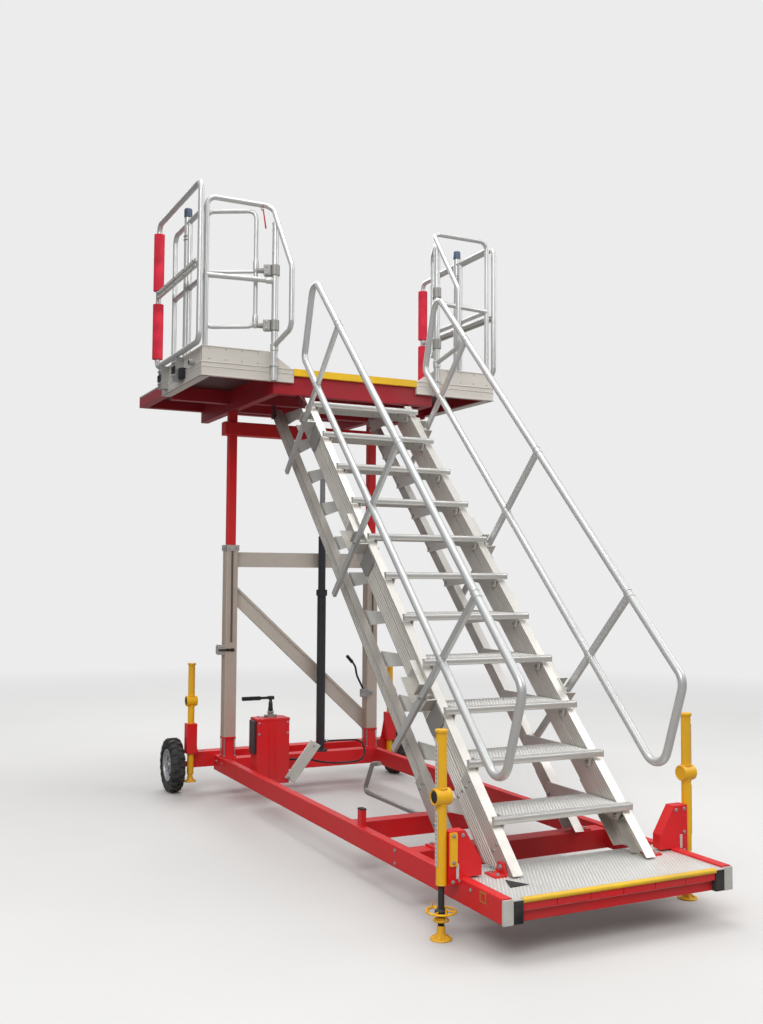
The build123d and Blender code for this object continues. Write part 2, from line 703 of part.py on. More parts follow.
# Pump lever: a flat bar bolted to the pump box. Control lever: a bent rod on a block on the right mast.
LEVER_THICK = 12.0
LEVER_CORNERS = ((-345.0, 215.0), (-290.0, 190.0), (-105.0, 412.0), (-160.0, 446.0))
CONTROL_BLOCK = (60.0, 40.0, 60.0)
CONTROL_Z = 690.0
CONTROL_STRAP = (80.0, 12.0, 30.0)
CONTROL_ROD = 8.0
CONTROL_GRIP = 13.0
control_x = MAST_X - MAST_SIZE / 2 - CONTROL_BLOCK[0] / 2
control_y = mast_front - CONTROL_BLOCK[1] / 2
CONTROL_KNEE = (control_x - 68.0, control_y, 830.0)
CONTROL_NECK = (control_x - 78.0, control_y, 900.0)
CONTROL_END = (control_x - 150.0, control_y, 978.0)
with BuildPart() as hand_levers:
    with BuildSketch(Plane.XZ.offset(-(PUMP_Y[0] - LEVER_THICK))):
        with BuildLine():
            Polyline(*LEVER_CORNERS, close=True)
        make_face()
    extrude(amount=-LEVER_THICK)
    fillet(hand_levers.edges().filter_by(Axis.Y), LEVER_THICK / 2)
    block(
        (control_x - CONTROL_BLOCK[0] / 2, control_x + CONTROL_BLOCK[0] / 2),
        (mast_front - CONTROL_BLOCK[1], mast_front),
        (CONTROL_Z - CONTROL_BLOCK[2] / 2, CONTROL_Z + CONTROL_BLOCK[2] / 2),
    )
    block(
        (control_x, control_x + CONTROL_STRAP[0]),
        (mast_front - CONTROL_STRAP[1], mast_front),
        (CONTROL_Z - CONTROL_STRAP[2] / 2, CONTROL_Z + CONTROL_STRAP[2] / 2),
    )
    control_root = (control_x, control_y, CONTROL_Z)
    bent_tube([control_root, CONTROL_KNEE, CONTROL_NECK, CONTROL_END], 3 * CONTROL_ROD, CONTROL_ROD)
    grip_run = Vector(*CONTROL_END) - Vector(*CONTROL_NECK)
    grip_start = Vector(*CONTROL_NECK) + grip_run * 0.35
    rod(tuple(grip_start), CONTROL_END, CONTROL_GRIP)
write(hand_levers.part, "hand_levers")

# Screw jacks: name, X, Y, low end of the tube, top, height of the collar.
JACK_TABLE = (
    ("front_left", -FRONT_JACK_X, FRONT_JACK_Y, 236.0, 906.0, 622.0),
    ("front_right", FRONT_JACK_X, FRONT_JACK_Y, 236.0, 906.0, 622.0),
    ("rear_left", -REAR_JACK_X, REAR_JACK_Y, 140.0, 931.0, 669.0),
    ("rear_right", REAR_JACK_X, REAR_JACK_Y, 140.0, 931.0, 669.0),
)
JACK_HEAD = 60.0
with BuildPart() as jack_tubes:
    for jack_name, x, y, low, top, collar in JACK_TABLE:
        rod((x, y, low), (x, y, top), JACK_RADIUS)
        rod((x, y, top), (x, y, top + JACK_CAP_HEIGHT), JACK_CAP)
        rod((x - JACK_COLLAR_LENGTH / 2, y, collar), (x + JACK_COLLAR_LENGTH / 2, y, collar), JACK_COLLAR)
        rod((x, y, low - 1), (x, y, top - JACK_HEAD), JACK_SCREW + PIN_FIT, mode=Mode.SUBTRACT)
write(jack_tubes.part, "jack_tubes")

# Jack screws: end of the stair, height of the foot, height of the handwheel or none, foot radius.
SCREW_TABLE = {
    "front": (0.0, 122.0, JACK_FOOT),
    "rear": (85.0, None, REAR_JACK_FOOT),
}
FOOT_RIM = 8.0
FOOT_HEIGHT = 22.0
FOOT_BOSS = 21.0
SCREW_HEAD = 300.0
WHEEL_RING = 66.0
WHEEL_WIRE = 5.0
WHEEL_SPOKE = 4.0
WHEEL_HUB = 29.0
HUB_SPAN = (-40.0, 8.0)
SPOKE_TURNS = (90.0, 210.0, 330.0)
for jack_name, x, y, low, top, collar in JACK_TABLE:
    foot, hand, disc = SCREW_TABLE[jack_name.split("_")[0]]
    with BuildPart() as screw:
        with BuildSketch(Plane(origin=(x, y, foot), x_dir=(1, 0, 0), z_dir=(0, -1, 0))):
            with BuildLine():
                Polyline(
                    (0, 0),
                    (disc, 0),
                    (disc, FOOT_RIM),
                    (FOOT_BOSS, FOOT_HEIGHT),
                    (0, FOOT_HEIGHT),
                    close=True,
                )
            make_face()
        revolve(axis=Axis((x, y, foot), (0, 0, 1)))
        rod((x, y, foot + FOOT_RIM), (x, y, top - SCREW_HEAD), JACK_SCREW)
        if hand is not None:
            with BuildSketch(Plane(origin=(x, y, hand), x_dir=(1, 0, 0), z_dir=(0, -1, 0))):
                with Locations((WHEEL_RING, 0)):
                    Circle(WHEEL_WIRE)
            revolve(axis=Axis((x, y, hand), (0, 0, 1)))
            for turn in SPOKE_TURNS:
                spoke_end = (x + WHEEL_RING * cos(radians(turn)), y + WHEEL_RING * sin(radians(turn)), hand)
                rod((x, y, hand), spoke_end, WHEEL_SPOKE)
            rod((x, y, hand + HUB_SPAN[0]), (x, y, hand + HUB_SPAN[1]), WHEEL_HUB)
    write(screw.part, f"{jack_name}_jack_screw")

# Front gussets are folded boxes, open below, that stand over the long beams and hold the front jacks.
GUSSET_DEPTH = 60.0
GUSSET_WALL = 8.0
GUSSET_TOP = 470.0
GUSSET_LOW = 236.0
GUSSET_INNER = 515.0
GUSSET_STEP = 335.0
GUSSET_SHOULDER = 600.0
# Rear sockets stand on the axle beam, with a rib at each side of the jack's tube.
SOCKET_HALF = 37.0
SOCKET_TOP = 505.0
SOCKET_RIB = 10.0
SOCKET_RIB_FOOT = 64.0
SOCKET_RIB_TOP = 440.0
gusset_outer = FRONT_JACK_X - JACK_RADIUS
gusset_front = FRONT_JACK_Y - GUSSET_DEPTH / 2
with BuildPart() as jack_brackets:
    for side in SIDES:
        with BuildSketch(Plane.XZ.offset(-gusset_front)):
            with BuildLine():
                Polyline(
                    (side * GUSSET_INNER, BEAM_TOP),
                    (side * GUSSET_INNER, GUSSET_STEP),
                    (side * GUSSET_SHOULDER, GUSSET_TOP),
                    (side * gusset_outer, GUSSET_TOP),
                    (side * gusset_outer, GUSSET_LOW),
                    (side * beam_outer, GUSSET_LOW),
                    (side * beam_outer, BEAM_TOP),
                    close=True,
                )
            make_face()
        extrude(amount=-GUSSET_DEPTH)
        block(
            (side * (beam_outer + GUSSET_WALL), side * (gusset_outer - GUSSET_WALL)),
            (gusset_front + GUSSET_WALL, gusset_front + GUSSET_DEPTH - GUSSET_WALL),
            (GUSSET_LOW, GUSSET_TOP - GUSSET_WALL),
            mode=Mode.SUBTRACT,
        )
    for side in SIDES:
        socket_x = side * REAR_JACK_X
        block(
            (socket_x - SOCKET_HALF, socket_x + SOCKET_HALF),
            (REAR_JACK_Y - SOCKET_HALF, REAR_JACK_Y + SOCKET_HALF),
            (AXLE_BEAM_TOP, SOCKET_TOP),
        )
        rod(
            (socket_x, REAR_JACK_Y, AXLE_BEAM_TOP - 1),
            (socket_x, REAR_JACK_Y, SOCKET_TOP + 1),
            JACK_RADIUS + PIN_FIT,
            mode=Mode.SUBTRACT,
        )
        rib_back = REAR_JACK_Y + SOCKET_HALF
        with BuildSketch(Plane.XZ.offset(-(rib_back - SOCKET_RIB))):
            with BuildLine():
                Polyline(
                    (socket_x - side * SOCKET_HALF, AXLE_BEAM_TOP),
                    (socket_x - side * SOCKET_HALF, SOCKET_RIB_TOP),
                    (socket_x - side * SOCKET_RIB_FOOT, AXLE_BEAM_TOP),
                    close=True,
                )
            make_face()
        extrude(amount=-SOCKET_RIB)
write(jack_brackets.part, "jack_brackets")

# Yellow strap bolted on the left gusset, beside the jack's tube.
STRAP_THICK = 10.0
STRAP_WIDTH = 37.0
STRAP_SPAN = (320.0, 466.0)
with BuildPart() as jack_strap:
    block(
        (-gusset_outer, -(gusset_outer - STRAP_WIDTH)),
        (gusset_front - STRAP_THICK, gusset_front),
        STRAP_SPAN,
    )
    fillet(jack_strap.edges().filter_by(Axis.Y), STRAP_THICK / 2)
write(jack_strap.part, "jack_strap")


# Hose from the pump to the foot of the ram: straight runs joined by tangent arcs.
HOSE_RADIUS = 7.0
HOSE_POINTS = [
    (PUMP_X[1] + HOSE_GLAND, HOSE_Y, HOSE_Z),
    (-150.0, HOSE_Y, HOSE_Z),
    (40.0, 3440.0, 235.0),
    (250.0, 3610.0, 190.0),
    (470.0, 3630.0, 190.0),
    (482.0, 3690.0, RAM_PORT_Z),
    (360.0, RAM_Y, RAM_PORT_Z),
    (RAM_X + RAM_PORT, RAM_Y, RAM_PORT_Z),
]


ARC_SHARE = 0.45


def arc_radii(points: list) -> list:
    """Returns the radius at each inner corner that leaves a tenth of the shorter run straight."""
    radii = []
    for before, corner, after in zip(points, points[1:], points[2:]):
        run_in = Vector(*corner) - Vector(*before)
        run_out = Vector(*after) - Vector(*corner)
        half_turn = radians(run_in.get_angle(run_out)) / 2
        radii.append(ARC_SHARE * min(run_in.length, run_out.length) / tan(half_turn))
    return radii


hose_radii = arc_radii(HOSE_POINTS)
with BuildPart() as hydraulic_hose:
    with BuildLine() as hose_line:
        FilletPolyline(*HOSE_POINTS, radius=hose_radii)
    with BuildSketch(Plane(origin=hose_line.line @ 0, z_dir=hose_line.line % 0)):
        Circle(HOSE_RADIUS)
    sweep(path=hose_line.line)
write(hydraulic_hose.part, "hydraulic_hose")

# Towing tube stowed under the stair, held by the middle cross member.
TOW_TUBE = 15.0
TOW_BEND = 30.0
middle_rear = CROSS_TABLE[2][1] + CROSS_TABLE[2][2]
TOW_POINTS = [
    (0.0, middle_rear, 174.0),
    (0.0, 2660.0, 174.0),
    (0.0, 2540.0, 370.0),
    (0.0, 2440.0, 390.0),
]
with BuildPart() as towing_tube:
    bent_tube(TOW_POINTS, TOW_BEND, TOW_TUBE)
write(towing_tube.part, "towing_tube")

# Wheels.
with BuildPart() as tyre_left:
    with BuildSketch(Plane(origin=(-WHEEL_X, WHEEL_Y, WHEEL_RADIUS), x_dir=(1, 0, 0), z_dir=(0, -1, 0))):
        half = TYRE_WIDTH / 2
        with BuildLine():
            Polyline(
                (-RIM_WIDTH / 2 + BEAD, RIM_RADIUS),
                (-half, RIM_RADIUS + SIDEWALL),
                (-half, WHEEL_RADIUS - SIDEWALL),
                (-half + SHOULDER, WHEEL_RADIUS - TREAD_CROWN),
                (-half + 2 * SHOULDER, WHEEL_RADIUS),
                (half - 2 * SHOULDER, WHEEL_RADIUS),
                (half - SHOULDER, WHEEL_RADIUS - TREAD_CROWN),
                (half, WHEEL_RADIUS - SIDEWALL),
                (half, RIM_RADIUS + SIDEWALL),
                (RIM_WIDTH / 2 - BEAD, RIM_RADIUS),
                close=True,
            )
        make_face()
    revolve(axis=Axis((-WHEEL_X, WHEEL_Y, WHEEL_RADIUS), (1, 0, 0)))
write(tyre_left.part, "left_tyre")
with BuildPart() as tyre_right:
    add(tyre_left.part.mirror(Plane.YZ))
write(tyre_right.part, "right_tyre")

with BuildPart() as rim_left:
    with BuildSketch(Plane(origin=(-WHEEL_X, WHEEL_Y, WHEEL_RADIUS), x_dir=(1, 0, 0), z_dir=(0, -1, 0))):
        bore = AXLE_RADIUS + PIN_FIT
        half = RIM_WIDTH / 2
        with BuildLine():
            Polyline(
                (-half, bore),
                (-half, RIM_HUB),
                (-half + RIM_WEB, RIM_HUB + BEAD / 2),
                (-half + RIM_WEB, RIM_RADIUS - 2 * BEAD),
                (-half, RIM_RADIUS - BEAD),
                (-half, RIM_RADIUS - BEAD / 4),
                (-half + BEAD, RIM_RADIUS),
                (half - BEAD, RIM_RADIUS),
                (half - BEAD, RIM_RADIUS - BEAD),
                (-half + RIM_WEB + RIM_PLATE, RIM_RADIUS - RIM_WEB),
                (-half + RIM_WEB + RIM_PLATE, RIM_HUB - BEAD),
                (half - RIM_PLATE, RIM_HUB - BEAD),
                (half - RIM_PLATE, bore),
                close=True,
            )
        make_face()
    revolve(axis=Axis((-WHEEL_X, WHEEL_Y, WHEEL_RADIUS), (1, 0, 0)))
write(rim_left.part, "left_rim")
with BuildPart() as rim_right:
    add(rim_left.part.mirror(Plane.YZ))
write(rim_right.part, "right_rim")

# Inner masts and crosshead rise with the platform.
with BuildPart() as inner_masts:
    for side in SIDES:
        with BuildSketch(Plane.XY.offset(INNER_MAST_LOW)):
            with Locations((side * MAST_X, MAST_Y)):
                RectangleRounded(INNER_MAST, INNER_MAST, BEAM_WALL)
        extrude(amount=CROSSHEAD_LOW - INNER_MAST_LOW)
write(inner_masts.part, "inner_masts")

with BuildPart() as crosshead:
    block(
        (-CROSSHEAD_HALF, CROSSHEAD_HALF),
        (MAST_Y - CROSSHEAD_DEPTH / 2, MAST_Y + CROSSHEAD_DEPTH / 2),
        (CROSSHEAD_LOW, CROSSHEAD_TOP),
    )
    fillet(crosshead.edges().filter_by(Axis.X), BEAM_WALL)
    for side in SIDES:
        block(
            (side * MAST_X - FRAME_BAR / 2, side * MAST_X + FRAME_BAR / 2),
            (MAST_Y - FRAME_BAR / 2, MAST_Y + FRAME_BAR / 2),
            (CROSSHEAD_TOP, FRAME_LOW),
        )
write(crosshead.part, "crosshead")

with BuildPart() as ram_rod:
    rod((RAM_X, RAM_Y, INNER_MAST_LOW), (RAM_X, RAM_Y, CROSSHEAD_LOW), RAM_ROD)
write(ram_rod.part, "ram_rod")

# Platform underframe: name, X range, Y range, low Z, each up to the deck plate.
deck_low = DECK_TOP - DECK_PLATE
half_bar = FRAME_BAR / 2
PIVOT_BAR = slope_point(TOP_PIVOT, 0.0, FOOT_Y + REAR_OFFSET)[0]
FRAME_TABLE = (
    ("front", (-GUARD_X, GUARD_X), (DECK_FRONT, DECK_FRONT + FRAME_BAR), FRAME_LOW),
    ("rear", (-DECK_HALF, DECK_HALF), (DECK_REAR - FRAME_BAR, DECK_REAR), FRAME_EDGE_LOW),
    ("left_edge", (-DECK_HALF, -DECK_HALF + FRAME_BAR), (DECK_FRONT, DECK_REAR), FRAME_EDGE_LOW),
    ("right_edge", (DECK_HALF - FRAME_BAR, DECK_HALF), (DECK_FRONT, DECK_REAR), FRAME_EDGE_LOW),
    ("left_long", (-MAST_X - half_bar, -MAST_X + half_bar), (DECK_FRONT, DECK_REAR), FRAME_LOW),
    ("right_long", (MAST_X - half_bar, MAST_X + half_bar), (DECK_FRONT, DECK_REAR), FRAME_LOW),
    ("pivot_bar", (-MAST_X, MAST_X), (PIVOT_BAR - half_bar, PIVOT_BAR + half_bar), FRAME_LOW),
    ("mast_bar", (-DECK_HALF, DECK_HALF), (MAST_Y - half_bar, MAST_Y + half_bar), FRAME_LOW),
)
with BuildPart() as underframe:
    for bar_name, x_range, y_range, low in FRAME_TABLE:
        block(x_range, y_range, (low, deck_low))
write(underframe.part, "underframe")

# Hangers under the frame carry the pins that the stringers' top eyes hang on.
HANGER_GAP = 8.0
HANGER_PLATE = 10.0
HANGER_DROP = 24.0
HANGER_TOP = 30.0
HANGER_LEAN = 86.0
hanger_inner = stringer_outer + HANGER_GAP
with BuildPart() as stair_hangers:
    for side in SIDES:
        for foot_y, lean in ((FOOT_Y, HANGER_LEAN), (FOOT_Y + REAR_OFFSET, 0.0)):
            y, z = slope_point(TOP_PIVOT, 0.0, foot_y)
            with BuildSketch(side_plane(side * hanger_inner)):
                with BuildLine():
                    Polyline(
                        (y + lean - HANGER_TOP, FRAME_LOW),
                        (y + lean + HANGER_TOP, FRAME_LOW),
                        (y + HANGER_DROP, z - HANGER_DROP),
                        (y - HANGER_DROP, z - HANGER_DROP),
                        (y - HANGER_DROP, z + HANGER_DROP),
                        close=True,
                    )
                make_face()
            extrude(amount=side * HANGER_PLATE)
            rod((side * (hanger_inner + HANGER_PLATE), y, z), (side * (STRINGER_INNER + 2), y, z), TOP_PIN)
write(stair_hangers.part, "stair_hangers")

with BuildPart() as deck:
    block((-DECK_HALF, DECK_HALF), (DECK_FRONT, DECK_REAR), (deck_low, DECK_TOP))
write(deck.part, "deck")

with BuildPart() as deck_nosing:
    nosing_front = DECK_FRONT - FASCIA_DEPTH - NOSING_LIP
    nosing_half = (-FASCIA_INNER, FASCIA_INNER)
    block(nosing_half, (nosing_front, DECK_FRONT), (DECK_TOP - DECK_NOSING, DECK_TOP))
    block(nosing_half, (nosing_front, DECK_FRONT + NOSING_DEPTH), (DECK_TOP, DECK_TOP + NOSING_LIP))
write(deck_nosing.part, "deck_nosing")

# Fascias and toe boards of the two wings.
with BuildPart() as toe_boards:
    for side in SIDES:
        block(
            (side * FASCIA_INNER, side * DECK_HALF),
            (DECK_FRONT - FASCIA_DEPTH, DECK_FRONT),
            (FASCIA_LOW, DECK_TOP),
        )
        with BuildSketch(Plane.XZ.offset(-(DECK_FRONT - FASCIA_DEPTH + NOSING_LIP))):
            with BuildLine():
                Polyline(
                    (side * TOE_FOOT, DECK_TOP),
                    (side * TOE_INNER, DECK_TOP + TOE_HEIGHT),
                    (side * DECK_HALF, DECK_TOP + TOE_HEIGHT),
                    (side * DECK_HALF, DECK_TOP),
                    close=True,
                )
            make_face()
        extrude(amount=-TOE_PLATE)
        block(
            (side * DECK_HALF, side * (DECK_HALF - TOE_PLATE)),
            (DECK_FRONT - FASCIA_DEPTH + NOSING_LIP, TOE_REAR),
            (DECK_TOP, DECK_TOP + TOE_HEIGHT),
        )
write(toe_boards.part, "toe_boards")

# Fixed guards: front rail with its loop over the stair, side rail, uprights and the hinge post.
with BuildPart() as fixed_guards:
    for side in SIDES:
        x = side * GUARD_X
        post_x = side * HINGE_POST_X
        bent_tube(
            [
                (x, GUARD_FRONT, DECK_TOP),
                (x, GUARD_FRONT, GUARD_TOP),
                (post_x, GUARD_FRONT, GUARD_TOP),
                (post_x, LOOP_Y, LOOP_HIGH),
                (post_x, LOOP_Y, LOOP_LOW),
                (post_x, HINGE_POST_Y, LOOP_END),
            ],
            GUARD_BEND,
            GUARD_TUBE,
        )
        bent_tube(
            [
                (x, GUARD_FRONT, GUARD_TOP - GUARD_BEND),
                (x, GUARD_REAR, GUARD_TOP - GUARD_BEND),
                (x, GUARD_REAR, DECK_TOP),
            ],
            GUARD_BEND,
            GUARD_TUBE,
        )
        rod((x, GUARD_UPRIGHT, DECK_TOP), (x, GUARD_UPRIGHT, GUARD_TOP - GUARD_BEND), GUARD_TUBE)
        rod((x, GUARD_FRONT, GUARD_MID), (x, GUARD_REAR, GUARD_MID), GUARD_TUBE)
        rod((x, GUARD_FRONT, GUARD_MID), (post_x, HINGE_POST_Y, GUARD_MID), GUARD_TUBE)
        rod((post_x, HINGE_POST_Y, FASCIA_LOW), (post_x, HINGE_POST_Y, HINGE_POST_TOP), HINGE_POST)
write(fixed_guards.part, "fixed_guards")

# Slide blocks on the frame's edge and clamps on the fixed guards carry the sliding guards.
BLOCK_PLACES = (3250.0, 3620.0)
BLOCK_LENGTH = 70.0
slider_seat = SLIDER_LOW - SLIDER_TUBE - SOFT_FIT
with BuildPart() as slide_blocks:
    for side in SIDES:
        for place in BLOCK_PLACES:
            block(
                (side * DECK_HALF, side * (SLIDER_X + SLIDER_TUBE)),
                (place, place + BLOCK_LENGTH),
                (FRAME_EDGE_LOW + FASCIA_DEPTH, slider_seat),
            )
write(slide_blocks.part, "slide_blocks")

# Sliding guards with foam sleeves on their rear upright. The sleeves: name, low end, high end.
FOAM_TABLE = (
    ("low", SLIDER_LOW + FOAM_LOW_GAPS[0], SLIDER_MID - FOAM_LOW_GAPS[1]),
    ("high", SLIDER_MID + FOAM_HIGH_GAPS[0], SLIDER_TOP - FOAM_HIGH_GAPS[1]),
)
for guard_name, side, shift in (("left", -1, 0.0), ("right", 1, SLIDER_SHIFT)):
    x = side * SLIDER_X
    with BuildPart() as slider:
        middle = (SLIDER_FRONT + SLIDER_REAR) / 2 + shift
        for end in (SLIDER_FRONT + shift, SLIDER_REAR + shift):
            bent_tube(
                [
                    (x, middle, SLIDER_TOP),
                    (x, end, SLIDER_TOP),
                    (x, end, SLIDER_LOW),
                    (x, middle, SLIDER_LOW),
                ],
                SLIDER_BEND,
                SLIDER_TUBE,
            )
        rod((x, SLIDER_FRONT + shift, SLIDER_MID), (x, SLIDER_REAR + shift, SLIDER_MID), SLIDER_TUBE - 2)
    write(slider.part, f"{guard_name}_sliding_guard")
    with BuildPart() as foam:
        for sleeve_name, low, high in FOAM_TABLE:
            with BuildSketch(Plane.XY.offset(low)):
                with Locations((x, SLIDER_REAR + shift)):
                    Circle(FOAM_RADIUS)
                    Circle(SLIDER_TUBE + SOFT_FIT, mode=Mode.SUBTRACT)
            extrude(amount=high - low)
    write(foam.part, f"{guard_name}_foam_sleeves")

# Gates: name, side, heading of the gate away from its hinge post, counted from +X.
GATE_TABLE = (("left", -1, 150.0), ("right", 1, 65.0))
for gate_name, side, heading in GATE_TABLE:
    turn = radians(heading)
    hinge = (side * HINGE_POST_X, HINGE_POST_Y)

    def gate_point(reach: float, z: float) -> tuple[float, float, float]:
        """Returns a point on the gate, by its reach from the hinge and its height."""
        return (hinge[0] + reach * cos(turn), hinge[1] + reach * sin(turn), z)

    with BuildPart() as gate:
        middle = (GATE_START + GATE_END) / 2
        for end in (GATE_START, GATE_END):
            bent_tube(
                [
                    gate_point(middle, GATE_TOP),
                    gate_point(end, GATE_TOP),
                    gate_point(end, GATE_LOW),
                    gate_point(middle, GATE_LOW),
                ],
                GATE_BEND,
                GATE_TUBE,
            )
        rod(gate_point(GATE_START, GATE_MID), gate_point(GATE_END, GATE_MID), GATE_TUBE - 2)
        for arm in GATE_ARMS:
            rod(gate_point(HINGE_POST + 2, arm), gate_point(GATE_START, arm), GATE_TUBE - 2)
            with BuildSketch(Plane.XY.offset(arm - GATE_BUSH_HALF)):
                with Locations(hinge):
                    Circle(HINGE_POST + GATE_BUSH_WALL)
                    Circle(HINGE_POST + PIN_FIT, mode=Mode.SUBTRACT)
            extrude(amount=2 * GATE_BUSH_HALF)
    write(gate.part, f"{gate_name}_gate")
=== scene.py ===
"""Dress of the variable height access platform: finishes, small fittings, floor, lights and camera.

Every size is in metres, and the ground is Z = 0. Shapes count Y from the front edge of the base
step, along the rise of the stair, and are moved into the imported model's frame when they are done.
"""

import logging
import math
from dataclasses import dataclass
from enum import Enum
from itertools import product
from typing import Callable, Sequence

import bmesh
import bpy
from mathutils import Matrix, Vector


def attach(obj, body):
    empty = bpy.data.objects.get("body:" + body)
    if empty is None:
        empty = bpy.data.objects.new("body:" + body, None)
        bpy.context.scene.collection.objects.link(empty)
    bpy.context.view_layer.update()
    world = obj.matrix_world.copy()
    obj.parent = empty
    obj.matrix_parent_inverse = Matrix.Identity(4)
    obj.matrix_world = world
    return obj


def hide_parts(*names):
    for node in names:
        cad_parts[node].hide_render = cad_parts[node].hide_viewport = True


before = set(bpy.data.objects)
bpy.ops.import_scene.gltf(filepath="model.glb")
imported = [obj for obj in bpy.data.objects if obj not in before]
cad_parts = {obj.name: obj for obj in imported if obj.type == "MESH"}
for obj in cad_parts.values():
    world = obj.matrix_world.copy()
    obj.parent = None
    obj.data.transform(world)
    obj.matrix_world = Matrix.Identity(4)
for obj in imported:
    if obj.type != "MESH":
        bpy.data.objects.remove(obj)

LOG = logging.getLogger("platform_dress")
Point = tuple[float, float, float]
Pair = tuple[float, float]
Colour = tuple[float, float, float]
Pairs = tuple[Pair, ...]
Socket = bpy.types.NodeSocket
Node = bpy.types.Node
Material = bpy.types.Material
SIDES = (-1, 1)
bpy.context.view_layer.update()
ORIGIN_Y = 2.238
ACROSS = (1, 0, 0)
INWARD = (-1, 0, 0)
FORE = (0, -1, 0)
UP = (0, 0, 1)
SHARP_TURN = math.radians(34)
BEVEL_TURN = math.radians(40)


class Side(Enum):
    """Left or right of the stair, seen from its foot."""

    LEFT = -1
    RIGHT = 1


class Along(Enum):
    """The way that a metal's drawing lines run."""

    X = (2.0, 90.0, 90.0)
    Z = (90.0, 90.0, 2.0)
    SLOPE = (90.0, 14.0, 14.0)
    NONE = (18.0, 18.0, 18.0)


def side_name(side: int) -> str:
    """Returns left or right, as the bodies' names have it."""
    return Side(side).name.lower()


def srgb(red: int, green: int, blue: int) -> Colour:
    """Turns a screen colour of 0 to 255 into a linear one."""
    levels = (level / 255 for level in (red, green, blue))
    return tuple(((c + 0.055) / 1.055) ** 2.4 if c > 0.04045 else c / 12.92 for c in levels)


def scaled(colour: Colour, factor: float, lift: float = 0.0) -> Colour:
    """Returns a lighter or darker colour."""
    return tuple(min(1.0, c * factor + lift) for c in colour)


def spokes(count: int, start: float = 0.0) -> list[Pair]:
    """Returns the cosines and sines of evenly spaced turns, the first one in radians."""
    return [(math.cos(a), math.sin(a)) for a in (start + 2 * math.pi * i / count for i in range(count))]


class Graph:
    """Adds nodes to a shader tree and joins them up."""

    def __init__(self, tree: bpy.types.NodeTree) -> None:
        """Keeps the tree that the nodes go into."""
        self.tree = tree

    def fill(self, socket: Socket, value: object) -> None:
        """Gives a socket a plain value, a colour or another node's output.

        Args:
            socket: the socket.
            value: what it gets.
        """
        if isinstance(value, Socket):
            self.tree.links.new(value, socket)
        elif socket.type == "RGBA" and len(value) == 3:
            socket.default_value = (*value, 1.0)
        else:
            socket.default_value = value

    def add(self, kind: str, inputs: dict | None = None, **settings: object) -> Node:
        """Adds one node.

        Args:
            kind: the node's Blender type, without its first word.
            inputs: socket name or number to a plain value or another node's output.
            settings: properties of the node itself.

        Returns:
            The new node.
        """
        node = self.tree.nodes.new(kind if kind.startswith("NodeGroup") else "ShaderNode" + kind)
        for key, value in settings.items():
            setattr(node, key, value)
        for key, value in (inputs or {}).items():
            self.fill(node.inputs[key], value)
        return node

    def sum(self, operation: str, *values: object, clamp: bool = False) -> Socket:
        """Adds a Math node and returns its value."""
        return self.add("Math", dict(enumerate(values)), operation=operation, use_clamp=clamp).outputs[0]

    def times(self, *values: object, clamp: bool = False) -> Socket:
        """Multiplies two values."""
        return self.sum("MULTIPLY", *values, clamp=clamp)

    def plus(self, *values: object, clamp: bool = False) -> Socket:
        """Adds two values."""
        return self.sum("ADD", *values, clamp=clamp)

    def minus(self, *values: object, clamp: bool = False) -> Socket:
        """Takes the second value from the first."""
        return self.sum("SUBTRACT", *values, clamp=clamp)

    def size(self, value: Socket) -> Socket:
        """Returns a value without its sign."""
        return self.sum("ABSOLUTE", value)

    def spread(self, value: Socket, low: float, high: float) -> Socket:
        """Stretches the part of a value between low and high over 0 to 1."""
        inputs = {"Value": value, "From Min": low, "From Max": high}
        return self.add("MapRange", inputs, clamp=True).outputs["Result"]

    def mix(self, mask: Socket, first: object, second: object) -> Socket:
        """Mixes two colours by a mask and returns the colour."""
        return self.add("Mix", {0: mask, 6: first, 7: second}, data_type="RGBA").outputs[2]

    def place(self) -> Socket:
        """Returns the place on the object."""
        return self.add("TexCoord").outputs["Object"]

    def normal(self) -> Socket:
        """Returns the way that the surface faces."""
        return self.add("NewGeometry").outputs["Normal"]

    def axes(self, vector: Socket) -> Sequence[Socket]:
        """Splits a vector into its three parts."""
        return self.add("SeparateXYZ", {0: vector}).outputs

    def vector(self, operation: str, *values: Socket) -> Node:
        """Adds a Vector Math node."""
        return self.add("VectorMath", dict(enumerate(values)), operation=operation)

    def noise(self, scale: object, detail: float, place: Socket | None = None, **more: float) -> Node:
        """Adds a noise over the object or over a given place."""
        sockets = {"Vector": self.place() if place is None else place, "Scale": scale, "Detail": detail}
        return self.add("TexNoise", {**sockets, **more})

    def cloud(self, *values: object, **more: float) -> Socket:
        """Returns the value of a noise, which takes the same values."""
        return self.noise(*values, **more).outputs["Fac"]


